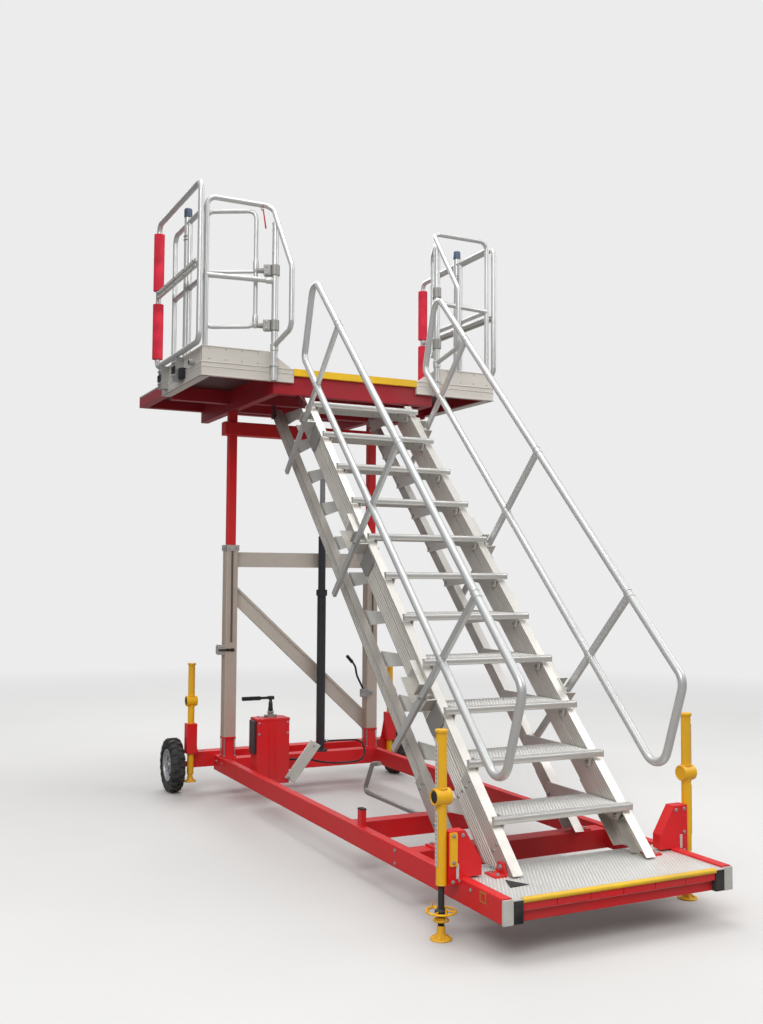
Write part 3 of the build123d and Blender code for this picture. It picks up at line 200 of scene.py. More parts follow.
@dataclass(frozen=True)
class Effect:
    """One shared effect, kept as a node group with named inputs and outputs."""

    name: str
    inputs: dict[str, float]
    outputs: tuple[str, ...]
    draw: Callable[[Graph, dict], tuple[Socket, ...]]

    def tree(self) -> bpy.types.NodeTree:
        """Returns the group, and builds it the first time.

        Returns:
            The node group.
        """
        if self.name in bpy.data.node_groups:
            return bpy.data.node_groups[self.name]
        tree = bpy.data.node_groups.new(self.name, "ShaderNodeTree")
        for way, names in (("INPUT", self.inputs), ("OUTPUT", self.outputs)):
            for name in names:
                tree.interface.new_socket(name=name, in_out=way, socket_type="NodeSocketFloat")
        graph = Graph(tree)
        source = graph.add("NodeGroupInput")
        result = graph.add("NodeGroupOutput")
        made = self.draw(graph, {name: source.outputs[name] for name in self.inputs})
        for name, socket in zip(self.outputs, made):
            tree.links.new(socket, result.inputs[name])
        return tree

    def use(self, graph: Graph, **values: float) -> dict[str, Socket]:
        """Places the group in a material.

        Args:
            graph: the material's graph.
            values: the group's inputs by name, where they differ from its own.

        Returns:
            The group's outputs by name.
        """
        node = graph.add("Group", node_tree=self.tree())
        for key, value in {**self.inputs, **values}.items():
            node.inputs[key].default_value = value
        return {name: node.outputs[name] for name in self.outputs}


def draw_edge_wear(graph: Graph, given: dict) -> tuple[Socket, ...]:
    """Marks edges that hands, boots and straps have rubbed, in broken patches.

    Args:
        graph: the group's graph.
        given: the group's inputs by name.

    Returns:
        The mask.
    """
    soft = graph.add("Bevel", {"Radius": given["Radius"]}, samples=4).outputs[0]
    dot = graph.vector("DOT_PRODUCT", soft, graph.normal()).outputs["Value"]
    patches = graph.spread(graph.cloud(given["Patches"], 5.0), 0.42, 0.62)
    rubbed = graph.times(graph.spread(graph.minus(1.0, dot), 0.02, 0.2), patches)
    return (graph.times(rubbed, given["Amount"], clamp=True),)


def draw_settled_dust(graph: Graph, given: dict) -> tuple[Socket, ...]:
    """Marks dust on faces that look up, thinner where air and hands reach it.

    Args:
        graph: the group's graph.
        given: the group's inputs by name.

    Returns:
        The mask.
    """
    facing_up = graph.spread(graph.axes(graph.normal())[2], 0.2, 0.95)
    lying = graph.times(facing_up, graph.spread(graph.cloud(given["Scale"], 6.0), 0.35, 0.7))
    return (graph.times(lying, given["Amount"], clamp=True),)


def draw_floor_grime(graph: Graph, given: dict) -> tuple[Socket, ...]:
    """Marks the dirt that wheels and water throw on what is near the floor.

    Args:
        graph: the group's graph.
        given: the group's inputs by name.

    Returns:
        The mask.
    """
    place = graph.place()
    low = graph.minus(1.0, graph.sum("DIVIDE", graph.axes(place)[2], given["Height"]), clamp=True)
    dirt = graph.times(low, graph.spread(graph.cloud(9.0, 8.0, place, Roughness=0.7), 0.38, 0.72))
    return (graph.times(dirt, given["Amount"], clamp=True),)


def draw_drawn_lines(graph: Graph, given: dict) -> tuple[Socket, ...]:
    """Draws fine lines along an extrusion or a rolled sheet.

    Args:
        graph: the group's graph.
        given: the group's inputs by name.

    Returns:
        The lines' value and height.
    """
    parts = graph.add("CombineXYZ", dict(enumerate(given.values()))).outputs[0]
    lines = graph.cloud(6.0, 4.0, graph.vector("MULTIPLY", graph.place(), parts).outputs[0])
    return lines, graph.times(lines, 0.4)


def draw_scuffs(graph: Graph, given: dict) -> tuple[Socket, ...]:
    """Marks thin scratches in all directions, in a few worn patches.

    Args:
        graph: the group's graph.
        given: the group's inputs by name.

    Returns:
        The mask.
    """
    place = graph.place()
    bent = graph.vector("ADD", place, graph.noise(7.0, 2.0, place).outputs["Color"]).outputs[0]
    sockets = {"Vector": bent, "Scale": given["Scale"]}
    cells = graph.add("TexVoronoi", sockets, feature="DISTANCE_TO_EDGE").outputs["Distance"]
    thin = graph.minus(1.0, graph.spread(cells, 0.0, 0.022))
    worn = graph.times(graph.spread(graph.cloud(3.5, 3.0, place), 0.5, 0.75), given["Amount"])
    return (graph.times(thin, worn, clamp=True),)


def draw_punched_grip(graph: Graph, given: dict) -> tuple[Socket, ...]:
    """Draws staggered rows of round punched holes with raised rims, on level faces.

    Args:
        graph: the group's graph.
        given: the group's inputs by name.

    Returns:
        The mask of the holes and the height of the rims.
    """
    sockets = {"Vector": graph.place(), "Angle": math.radians(45)}
    turned = graph.add("VectorRotate", sockets, rotation_type="Z_AXIS").outputs[0]
    sockets = {"Vector": turned, "Scale": graph.sum("DIVIDE", 1.0, given["Pitch"]), "Randomness": 0.0}
    cells = graph.add("TexVoronoi", sockets, voronoi_dimensions="2D").outputs["Distance"]
    level = graph.spread(graph.size(graph.axes(graph.normal())[2]), 0.6, 0.9)
    hole = graph.sum("LESS_THAN", cells, given["Hole"])
    rim = graph.minus(1.0, graph.spread(graph.size(graph.minus(cells, 0.33)), 0.0, 0.1))
    return graph.times(hole, level), graph.times(graph.minus(rim, graph.times(hole, 1.6)), level)


def draw_slope_ribs(graph: Graph, given: dict) -> tuple[Socket, ...]:
    """Draws grooves along the two sides of an extrusion that lies on the stair's slope.

    Args:
        graph: the group's graph.
        given: the group's inputs by name.

    Returns:
        The mask.
    """
    _, place_y, place_z = graph.axes(graph.place())
    across = graph.minus(graph.times(graph.minus(place_z, place_y), math.sqrt(0.5)), given["Middle"])
    side_face = graph.sum("GREATER_THAN", graph.size(graph.axes(graph.normal())[0]), 0.5)
    wave = graph.sum("FRACT", graph.plus(graph.sum("DIVIDE", across, given["Pitch"]), 0.5))
    groove = graph.minus(1.0, graph.spread(graph.size(graph.minus(wave, 0.5)), 0.05, 0.10))
    return (graph.times(groove, side_face),)


MASK = ("Mask",)
EDGE_WEAR = Effect("edge_wear", {"Radius": 0.002, "Patches": 34.0, "Amount": 1.0}, MASK, draw_edge_wear)
SETTLED_DUST = Effect("settled_dust", {"Scale": 5.0, "Amount": 0.4}, MASK, draw_settled_dust)
FLOOR_GRIME = Effect("floor_grime", {"Height": 0.5, "Amount": 0.5}, MASK, draw_floor_grime)
SCUFFS = Effect("scuffs", {"Scale": 30.0, "Amount": 0.5}, MASK, draw_scuffs)
LINE_RATES = {"Across X": 90.0, "Across Y": 2.0, "Across Z": 90.0}
DRAWN_LINES = Effect("drawn_lines", LINE_RATES, ("Value", "Height"), draw_drawn_lines)
SLOPE_RIBS = Effect("slope_ribs", {"Pitch": 0.0167, "Middle": 0.0}, ("Groove",), draw_slope_ribs)
PUNCHED_GRIP = Effect("punched_grip", {"Pitch": 0.016, "Hole": 0.26}, ("Hole", "Height"), draw_punched_grip)


@dataclass
class Skin:
    """A material on its way: its graph, its shader and the masks that more than one finish uses."""

    name: str

    def __post_init__(self) -> None:
        """Makes the material, with its shader joined to its output."""
        self.material = bpy.data.materials.new(self.name)
        self.material.use_nodes = True
        self.material.node_tree.nodes.clear()
        self.graph = Graph(self.material.node_tree)
        self.shader = self.graph.add("BsdfPrincipled")
        self.output = self.graph.add("OutputMaterial", {"Surface": self.shader.outputs[0]})

    def dirt(self, dust: Pair, grime: Pair) -> tuple[Socket, Socket]:
        """Returns the masks of dust and floor dirt.

        Args:
            dust: scale and amount of the dust.
            grime: height and amount of the floor dirt.
        """
        settled = SETTLED_DUST.use(self.graph, Scale=dust[0], Amount=dust[1])["Mask"]
        return settled, FLOOR_GRIME.use(self.graph, Height=grime[0], Amount=grime[1])["Mask"]

    def close(self, sockets: dict, height: Socket, radius: float, strength: float, depth: float) -> Material:
        """Leads the values into the shader and adds its bump.

        Args:
            sockets: the shader's sockets by name, with their values.
            height: the bump's height.
            radius: how far the edges are softened.
            strength: the bump's strength.
            depth: the bump's distance.

        Returns:
            The material.
        """
        soft = self.graph.add("Bevel", {"Radius": radius}, samples=4).outputs[0]
        bump = {"Height": height, "Strength": strength, "Distance": depth, "Normal": soft}
        for name, value in {**sockets, "Normal": self.graph.add("Bump", bump).outputs[0]}.items():
            self.graph.fill(self.shader.inputs[name], value)
        return self.material


@dataclass(frozen=True)
class PaintFinish:
    """Sprayed paint with rubbed edges, scuffs, dust and floor dirt; with a pitch, punched holes in painted
    shade.
    """

    name: str
    colour: Colour
    roughness: float = 0.34
    coat: float = 0.3
    wear: float = 0.8
    dust: float = 0.3
    grime: float = 0.5
    pitch: float = 0.0
    slot: str = "red_paint"
    under: Colour = (0.30, 0.27, 0.25)
    dust_colour: Colour = (0.42, 0.37, 0.31)

    def make(self) -> Material:
        """Builds the material.

        Returns:
            The finished material.
        """
        skin = Skin(self.name)
        graph = skin.graph
        cloud = graph.cloud(2.5, 5.0)
        base = graph.mix(graph.spread(cloud, 0.3, 0.7), self.colour, scaled(self.colour, 0.82, 0.02))
        scuffs = SCUFFS.use(graph, Scale=34.0, Amount=self.wear * 0.5)["Mask"]
        worn = graph.sum("MAXIMUM", scuffs, EDGE_WEAR.use(graph, Amount=self.wear)["Mask"])
        dust, grime = skin.dirt((6.0, self.dust), (0.45, self.grime))
        base = graph.mix(dust, graph.mix(worn, base, self.under), self.dust_colour)
        base = graph.mix(grime, base, scaled(self.dust_colour, 0.45))
        if self.pitch:
            holes = PUNCHED_GRIP.use(graph, Pitch=self.pitch, Hole=0.3)["Hole"]
            # The holes take a near black copy of the paint: painted shade inside them.
            base = graph.mix(holes, base, scaled(self.colour, 0.12))
        dull = graph.plus(graph.times(graph.sum("MAXIMUM", dust, grime), 0.4), self.roughness)
        rough = graph.plus(dull, graph.times(cloud, 0.08), clamp=True)
        height = graph.minus(graph.times(graph.cloud(260.0, 2.0), 0.25), graph.times(worn, 0.8))
        sockets = {"Base Color": base, "Roughness": rough, "Coat Weight": self.coat, "Coat Roughness": 0.18}
        return skin.close(sockets, height, 0.0016, 0.25, 0.0006)


@dataclass(frozen=True)
class MetalFinish:
    """Bare metal with drawing lines, tarnish, scuffs and dust; with a pitch, punched for grip; with a rib
    middle, grooved; holes and grooves darkened as painted shade.
    """

    name: str
    colour: Colour
    roughness: float = 0.36
    metallic: float = 0.85
    along: Along = Along.NONE
    tarnish: float = 0.35
    scuffs: float = 0.4
    dust: float = 0.2
    grime: float = 0.35
    lines: float = 0.5
    pitch: float = 0.0
    rib_middle: float | None = None
    slot: str = "aluminium"
    dust_colour: Colour = (0.45, 0.42, 0.37)
    grime_colour: Colour = (0.10, 0.085, 0.07)
    hole_shade_colour: Colour = (0.05, 0.05, 0.055)

    def make(self) -> Material:
        """Builds the material.

        Returns:
            The finished material.
        """
        skin = Skin(self.name)
        graph = skin.graph
        lines = DRAWN_LINES.use(graph, **dict(zip(LINE_RATES, self.along.value)))
        stain = graph.times(graph.spread(graph.cloud(4.0, 7.0), 0.42, 0.75), self.tarnish)
        dark = scaled(self.colour, 0.55)
        drawn = graph.times(graph.spread(lines["Value"], 0.45, 0.7), self.lines)
        base = graph.mix(drawn, graph.mix(stain, self.colour, dark), scaled(self.colour, 1.12))
        scuffs = SCUFFS.use(graph, Scale=40.0, Amount=self.scuffs)["Mask"]
        dust, grime = skin.dirt((7.0, self.dust), (0.6, self.grime))
        base = graph.mix(dust, graph.mix(scuffs, base, dark), self.dust_colour)
        base = graph.mix(grime, base, self.grime_colour)
        height = graph.minus(graph.times(lines["Height"], self.lines), graph.times(scuffs, 0.5))
        if self.pitch:
            grip = PUNCHED_GRIP.use(graph, Pitch=self.pitch, Hole=0.27)
            # The holes take the dark hole colour: painted shade inside them.
            base = graph.mix(grip["Hole"], base, self.hole_shade_colour)
            height = graph.plus(height, graph.times(grip["Height"], 3.0))
        if self.rib_middle is not None:
            groove = SLOPE_RIBS.use(graph, Middle=self.rib_middle)["Groove"]
            # The grooves are darkened as painted shade in them; the bump on the next line gives their depth.
            base = graph.mix(graph.times(groove, 0.7), base, scaled(self.colour, 0.22))
            height = graph.minus(height, graph.times(groove, 1.2))
        dirty = graph.sum("MAXIMUM", dust, grime)
        metallic = graph.times(graph.minus(1.0, dirty, clamp=True), self.metallic)
        rough = graph.plus(graph.times(graph.plus(stain, dirty), 0.35), self.roughness)
        rough = graph.plus(rough, graph.times(lines["Value"], 0.06), clamp=True)
        sockets = {"Base Color": base, "Metallic": metallic, "Roughness": rough}
        return skin.close(sockets, height, 0.0012, 0.35, 0.0008)


@dataclass(frozen=True)
class RubberFinish:
    """Rubber, plastic or closed cell foam: matt, pored, with dust in its grain."""

    name: str
    colour: Colour
    roughness: float = 0.7
    pores: float = 420.0
    dust: float = 0.35
    grime: float = 0.5
    slot: str = "black_rubber"
    dust_colour: Colour = (0.22, 0.20, 0.17)

    def make(self) -> Material:
        """Builds the material.

        Returns:
            The finished material.
        """
        skin = Skin(self.name)
        graph = skin.graph
        cloud = graph.cloud(9.0, 6.0)
        base = graph.mix(graph.spread(cloud, 0.35, 0.7), self.colour, scaled(self.colour, 1.5, 0.01))
        dirt = graph.sum("MAXIMUM", *skin.dirt((14.0, self.dust), (0.4, self.grime)))
        rough = graph.plus(graph.times(cloud, 0.15), self.roughness, clamp=True)
        sockets = {"Base Color": graph.mix(dirt, base, self.dust_colour), "Roughness": rough}
        return skin.close(sockets, graph.cloud(self.pores, 3.0), 0.0015, 0.4, 0.0008)


FOOT_PIVOT = (0.350, 0.290)
REAR_OFFSET = 0.560
STAIR_TURN = math.radians(45.0)
SLOPE_AXIS = (0.0, math.cos(STAIR_TURN), math.sin(STAIR_TURN))


def pair_middle(foot_y: float) -> float:
    """Returns how far a pair of stringers lies square to the slope, seen from the written origin."""
    return (FOOT_PIVOT[1] - (foot_y - ORIGIN_Y)) * math.sqrt(0.5)


BARE = {"roughness": 0.32, "along": Along.SLOPE, "scuffs": 0.15, "dust": 0.08, "lines": 0.25}
DULL = {"coat": 0.0, "grime": 0.0}
YELLOW = {"slot": "yellow_paint"}
STEEL = {"slot": "zinc_steel"}
METAL = {"slot": "aluminium"}
FRONT_RIBS = {"rib_middle": pair_middle(FOOT_PIVOT[0])}
REAR_RIBS = {"rib_middle": pair_middle(FOOT_PIVOT[0] + REAR_OFFSET)}
PLATE = {"roughness": 0.42, "tarnish": 0.15, "metallic": 0.5, "grime": 0.15, "dust": 0.05}
FINISH_LIST = (
    PaintFinish("red_enamel", srgb(230, 8, 20), wear=0.5, dust=0.05, grime=0.12, coat=0.04, roughness=0.42),
    # The hangers' red is the chassis red darkened: painted shade under the stair.
    PaintFinish("hanger_shaded_red", srgb(88, 12, 24), wear=0.4, dust=0.15, roughness=0.55, **DULL),
    # The underframe's red is darker than the chassis red; part of that darkness is painted shade under the
    # platform.
    PaintFinish("frame_shaded_red", srgb(168, 8, 30), wear=0.3, dust=0.05, grime=0.0, coat=0.05, roughness=0.42),
    # The underside panels' dark red is painted shade under the wings.
    PaintFinish("shaded_underside_mesh", srgb(84, 18, 24), pitch=0.022, roughness=0.5, **DULL),
    PaintFinish("jack_yellow", srgb(255, 192, 0), dust=0.03, grime=0.2, wear=0.6, coat=0.0, **YELLOW),
    PaintFinish("tread_yellow", srgb(250, 200, 4), roughness=0.5, coat=0.0, wear=0.6, dust=0.05, **YELLOW),
    PaintFinish("dark_yellow", srgb(188, 138, 22), wear=0.6, **YELLOW),
    PaintFinish("white_enamel", srgb(214, 212, 204), wear=0.4, dust=0.12, slot="white_paint"),
    PaintFinish("red_tag", srgb(196, 20, 34), roughness=0.6, wear=0.1, **DULL),
    PaintFinish("black_enamel", srgb(34, 37, 44), wear=0.3, dust=0.12, grime=0.2, roughness=0.4, **STEEL),
    PaintFinish("slot_shade", srgb(96, 90, 84), wear=0.0, dust=0.1, roughness=0.6, **DULL, **METAL),
    # Mid grey for the bottoms of punched holes: painted shade inside them.
    PaintFinish("punched_hole_shade", srgb(132, 130, 126), wear=0.0, dust=0.2, roughness=0.7, **DULL, **METAL),
    PaintFinish("cap_blue", srgb(58, 78, 104), roughness=0.5, wear=0.2, dust=0.1, grime=0.0, **METAL),
    MetalFinish("rail_aluminium", srgb(208, 209, 207), 0.34, 0.55, Along.NONE, 0.2, 0.0, 0.06, lines=0.0),
    MetalFinish("front_extrusion", srgb(226, 222, 214), metallic=0.65, **BARE, **FRONT_RIBS),
    MetalFinish("back_extrusion", srgb(226, 222, 214), metallic=0.65, **BARE),
    MetalFinish("rear_extrusion", srgb(216, 212, 205), metallic=0.7, **BARE, **REAR_RIBS),
    MetalFinish("extruded_aluminium", srgb(214, 211, 204), 0.34, 0.65, Along.SLOPE, scuffs=0.15, lines=0.2),
    MetalFinish("mast_aluminium", srgb(206, 192, 178), 0.45, 0.5, Along.Z, 0.3),
    MetalFinish("beam_aluminium", srgb(214, 206, 194), 0.45, 0.5, Along.X, 0.25),
    MetalFinish("board_aluminium", srgb(218, 212, 203), 0.45, 0.35, Along.X, 0.15, 0.12, 0.08),
    MetalFinish("tread_plate", srgb(218, 217, 212), along=Along.X, scuffs=0.1, lines=0.2, **PLATE),
    MetalFinish("grip_rim", srgb(222, 221, 217), scuffs=0.0, lines=0.1, **PLATE),
    MetalFinish("nose_aluminium", srgb(220, 218, 213), 0.3, 0.7, Along.X, 0.2, 0.15, 0.08),
    MetalFinish("deck_grip", srgb(182, 180, 176), 0.45, 0.6, Along.X, 0.3, pitch=0.02),
    MetalFinish("zinc_steel", srgb(178, 178, 176), 0.34, tarnish=0.4, **STEEL),
    MetalFinish("rim_silver", srgb(184, 186, 190), metallic=0.6, tarnish=0.5, **STEEL),
    MetalFinish("clamp_grey", srgb(158, 156, 152), 0.5, 0.5, tarnish=0.3, grime=0.0),
    MetalFinish("dark_steel", srgb(62, 60, 58), 0.4, 0.7, tarnish=0.4, **STEEL),
    MetalFinish("chrome_rod", srgb(225, 226, 228), 0.12, 1.0, Along.Z, 0.05, dust=0.0, grime=0.0, **STEEL),
    RubberFinish("tyre_rubber", srgb(32, 32, 34)),
    RubberFinish("black_rubber", srgb(22, 22, 24), dust=0.25),
    RubberFinish("black_grip", srgb(24, 24, 26), dust=0.3, pores=900.0, roughness=0.85),
    RubberFinish("red_foam", srgb(196, 34, 56), 0.85, 700.0, 0.08, 0.0, "red_foam"),
)
FINISHES = {entry.name: entry for entry in FINISH_LIST}
MADE: dict[str, Material] = {}
NODE_FINISHES = {
    "deck_grip": "deck",
    "red_enamel": "long_beams cross_members foot_brackets mast_feet jack_brackets pump_box inner_masts "
    "crosshead",
    "hanger_shaded_red": "stair_hangers",
    "jack_yellow": "jack_strap jack_tubes",
    "tread_yellow": "base_nosing deck_nosing",
    "white_enamel": "beam_end_plates",
    "black_enamel": "ram_cylinder",
    "chrome_rod": "ram_rod",
    "mast_aluminium": "outer_masts",
    "beam_aluminium": "mast_bracing",
    "front_extrusion": "front_stringers front_sleeves",
    "rear_extrusion": "rear_stringers rear_sleeves",
    "extruded_aluminium": "post_brackets",
    "board_aluminium": "toe_boards",
    "rail_aluminium": "handrails fixed_guards left_gate right_gate left_sliding_guard right_sliding_guard",
    "zinc_steel": "slide_blocks towing_tube",
    "black_rubber": "front_buffers",
    "red_foam": "left_foam_sleeves right_foam_sleeves",
}


def finish(name: str) -> Material:
    """Returns the material of a named finish, built the first time it is asked for.

    Args:
        name: the finish.

    Returns:
        Its material.
    """
    if name not in MADE:
        MADE[name] = FINISHES[name].make()
    return MADE[name]


def dress_nodes() -> None:
    """Gives every carried over node its finish; one that isn't named has the tread plate's."""
    named = {node: name for name, nodes in NODE_FINISHES.items() for node in nodes.split()}
    for node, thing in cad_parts.items():
        if not thing.material_slots:
            thing.data.materials.append(None)
        for holder in thing.material_slots:
            holder.link = "OBJECT"
            holder.material = finish(named.get(node, "tread_plate"))


def place_object(name: str, data: bpy.types.ID) -> bpy.types.Object:
    """Makes an object of some data and puts it in the scene.

    Args:
        name: the object's name.
        data: its mesh, curve, light or camera.

    Returns:
        The new object.
    """
    thing = bpy.data.objects.new(name, data)
    bpy.context.scene.collection.objects.link(thing)
    return thing


def turn_to(axis: Sequence[float]) -> Matrix:
    """Returns the turn that takes +Z to an axis."""
    return Vector(axis).normalized().to_track_quat("Z", "Y").to_matrix()


def slope_point(x: float, along: float, square: float = 0.0, foot_y: float = FOOT_PIVOT[0]) -> Point:
    """Returns the point at a place along the stair's slope and square to it."""
    c, s = math.cos(STAIR_TURN), math.sin(STAIR_TURN)
    return (x, foot_y + along * c - square * s, FOOT_PIVOT[1] + along * s + square * c)


def oblong(start: float, end: float, low: float, high: float) -> Pairs:
    """Returns the corners of an oblong."""
    return ((start, low), (end, low), (end, high), (start, high))


def mirrored(point: Sequence[float], side: int) -> Point:
    """Returns a point or a direction of the right side as it is on a given side."""
    return (side * point[0], point[1], point[2])


class Shape:
    """Collects simple forms into one mesh."""

    def __init__(self, name: str) -> None:
        """Starts an empty shape, which becomes the piece of that name.

        Args:
            name: the name of the piece.
        """
        self.name = name
        self.points: list[Vector] = []
        self.faces: list[tuple[int, ...]] = []
        self.second: set[int] = set()

    def band(self, first: int, second: int, count: int, open_part: Sequence[int] = ()) -> None:
        """Joins two rings of points with quads.

        Args:
            first: the number of the first ring's first point.
            second: the number of the second ring's first point.
            count: how many points a ring has.
            open_part: the quads that are left out, by their place in the ring.
        """
        for j in range(count):
            k = (j + 1) % count
            if j not in open_part:
                self.faces.append((first + j, first + k, second + k, second + j))

    def loft(self, rings: Sequence[Sequence[Vector]], closed: bool = False) -> None:
        """Joins rings of points with quads, and gives an open loft its end faces.

        Args:
            rings: the rings, each with as many points.
            closed: whether the last ring joins the first.
        """
        start, count = len(self.points), len(rings[0])
        for ring in rings:
            self.points.extend(Vector(point) for point in ring)
        starts = [start + i * count for i in range(len(rings))]
        for first, second in zip(starts, starts[1:] + starts[:1] if closed else starts[1:]):
            self.band(first, second, count)
        if not closed:
            self.faces.append(tuple(reversed(range(start, start + count))))
            self.faces.append(tuple(range(starts[-1], starts[-1] + count)))

    def box(self, x: Pair, y: Pair, z: Pair, side: int = 1) -> None:
        """Adds a block.

        Args:
            x: its two ends along X, on the right side.
            y: its two ends along Y.
            z: its two ends along Z.
            side: the side that it is on.
        """
        x, y = sorted(side * end for end in x), sorted(y)
        corners = ((x[0], y[0]), (x[1], y[0]), (x[1], y[1]), (x[0], y[1]))
        self.loft([[Vector((a, b, level)) for a, b in corners] for level in sorted(z)])

    def boxes(self, rows: Sequence[tuple[Pair, Pair, Pair]]) -> None:
        """Adds blocks on both sides, from their ends on the right side.

        Args:
            rows: their ends along X, Y and Z.
        """
        for side in SIDES:
            for row in rows:
                self.box(*row, side)

    def prism(self, corners: Sequence[Sequence[float]], offset: Sequence[float]) -> None:
        """Adds a flat outline pushed out by an offset."""
        first = [Vector(corner) for corner in corners]
        self.loft([first, [corner + Vector(offset) for corner in first]])

    def turned(
        self, centre: Point, axis: Point, profile: Sequence[Pair], sides: int = 32, closed: bool = False
    ) -> None:
        """Adds a turned form.

        Args:
            centre: the point that the profile counts from.
            axis: the direction of the turning axis.
            profile: pairs of distance along the axis and radius.
            sides: number of sides.
            closed: whether the profile is a closed loop, as in a ring.
        """
        turn, turns = turn_to(axis), spokes(sides)
        rings = [[turn @ Vector((r * c, r * s, along)) for c, s in turns] for along, r in profile]
        self.loft([[Vector(centre) + point for point in ring] for ring in rings], closed=closed)

    def rod(self, start: Point, end: Point, radius: float, sides: int = 14, tip: float | None = None) -> None:
        """Adds a round bar, tapered where it has a radius for its tip."""
        run = Vector(end) - Vector(start)
        self.turned(start, run, [(0.0, radius), (run.length, radius if tip is None else tip)], sides)

    def ring(
        self, centre: Point, axis: Point, major: float, minor: float, sides: int = 36, wire: int = 8
    ) -> None:
        """Adds a round ring of round wire."""
        profile = [(minor * s, major + minor * c) for c, s in spokes(wire)]
        self.turned(centre, axis, profile, sides, closed=True)

    def bent(self, corners: Sequence[Point], bend: float, radius: float, sides: int = 12) -> None:
        """Adds a bar bent at its corners.

        Args:
            corners: the points that the straight runs head for.
            bend: how far from a corner the bend starts.
            radius: the bar's radius.
            sides: sides of its section.
        """
        steps = 6
        start_side = (0.31, 0.52, 0.79)
        points = [Vector(corner) for corner in corners]
        line = points[:1]
        for before, corner, after in zip(points, points[1:], points[2:]):
            first = corner + (before - corner).normalized() * bend
            last = corner + (after - corner).normalized() * bend
            for t in (step / steps for step in range(steps + 1)):
                line.append(first * (1 - t) ** 2 + corner * 2 * t * (1 - t) + last * t**2)
        line.append(points[-1])
        rings = []
        side = Vector(start_side)
        for i, point in enumerate(line):
            ahead = (line[min(i + 1, len(line) - 1)] - line[max(i - 1, 0)]).normalized()
            side = (side - ahead * side.dot(ahead)).normalized()
            other = ahead.cross(side)
            rings.append([point + (side * c + other * s) * radius for c, s in spokes(sides)])
        self.loft(rings)

    def bolt(self, place: Point, axis: Point, size: float) -> None:
        """Adds a hexagon bolt head on its washer.

        Args:
            place: where it is seated.
            axis: the way that it points.
            size: its radius.
        """
        washer, head = ((0.0, 1.25), (0.22, 1.25), (0.3, 1.1)), ((0.2, 1.0), (0.8, 1.0), (0.95, 0.72))
        for profile, sides in ((washer, 16), (head, 6)):
            self.turned(place, axis, [(size * along, size * radius) for along, radius in profile], sides)

    def bolts(self, *rows: tuple[float, Point, Sequence[Point]]) -> None:
        """Adds bolts on both sides.

        Args:
            rows: size, axis and places of like bolts, as on the right side.
        """
        for side in SIDES:
            for size, axis, places in rows:
                for place in places:
                    self.bolt(mirrored(place, side), mirrored(axis, side), size)

    def rods(self, rows: Sequence[tuple[Point, Point]], radius: float, sides: int) -> None:
        """Adds round bars on both sides.

        Args:
            rows: their two ends, as on the right side.
            radius: their radius.
            sides: number of sides.
        """
        for side in SIDES:
            for start, end in rows:
                self.rod(mirrored(start, side), mirrored(end, side), radius, sides)

    def twins(self, place: Point, axis: Point, profile: Sequence[Pair], sides: int) -> None:
        """Adds a turned form on the right side and its mirror image on the left."""
        for side in SIDES:
            self.turned(mirrored(place, side), mirrored(axis, side), profile, sides)

    def slab(self, x: Pair, corners: Sequence[Pair]) -> None:
        """Adds a slab on both sides of the stair.

        Args:
            x: its two ends along X, on the right side.
            corners: its outline, along the slope and square to it.
        """
        for side in SIDES:
            first = [slope_point(side * x[0], *corner) for corner in corners]
            self.prism(first, (side * (x[1] - x[0]), 0.0, 0.0))

    def studs(self, x: Pair, y: Pair, z: float, pitch: float = 0.018, size: float = 0.0056) -> None:
        """Covers a level face with staggered rows of raised punched holes; each stud's top face takes the
        second finish, painted shade for the hole.

        Args:
            x: the two ends of the field along X.
            y: its two ends along Y.
            z: the face's height.
            pitch: the distance between holes in a row.
            size: the radius of a raised rim.
        """
        row_pitch = pitch * 0.87
        steps = ((1.0, 0.0), (0.62, 0.24), (0.36, 0.10))
        rows = max(1, round((y[1] - y[0]) / row_pitch))
        columns = max(1, round((x[1] - x[0]) / pitch))
        step_x, step_y = (x[1] - x[0]) / columns, (y[1] - y[0]) / rows
        for row in range(rows):
            for column in range(columns - row % 2):
                cx = x[0] + (column + 0.5 + 0.5 * (row % 2)) * step_x
                cy = y[0] + (row + 0.5) * step_y
                start = len(self.points)
                for width, rise in steps:
                    ring = [(cx + size * width * c, cy + size * width * s) for c, s in spokes(6)]
                    self.points.extend(Vector((*place, z + size * rise)) for place in ring)
                self.band(start, start + 6, 6)
                self.band(start + 6, start + 12, 6)
                # The top face of each stud gets the second finish, a grey that paints the shade in the hole.
                self.second.add(len(self.faces))
                self.faces.append(tuple(range(start + 12, start + 18)))

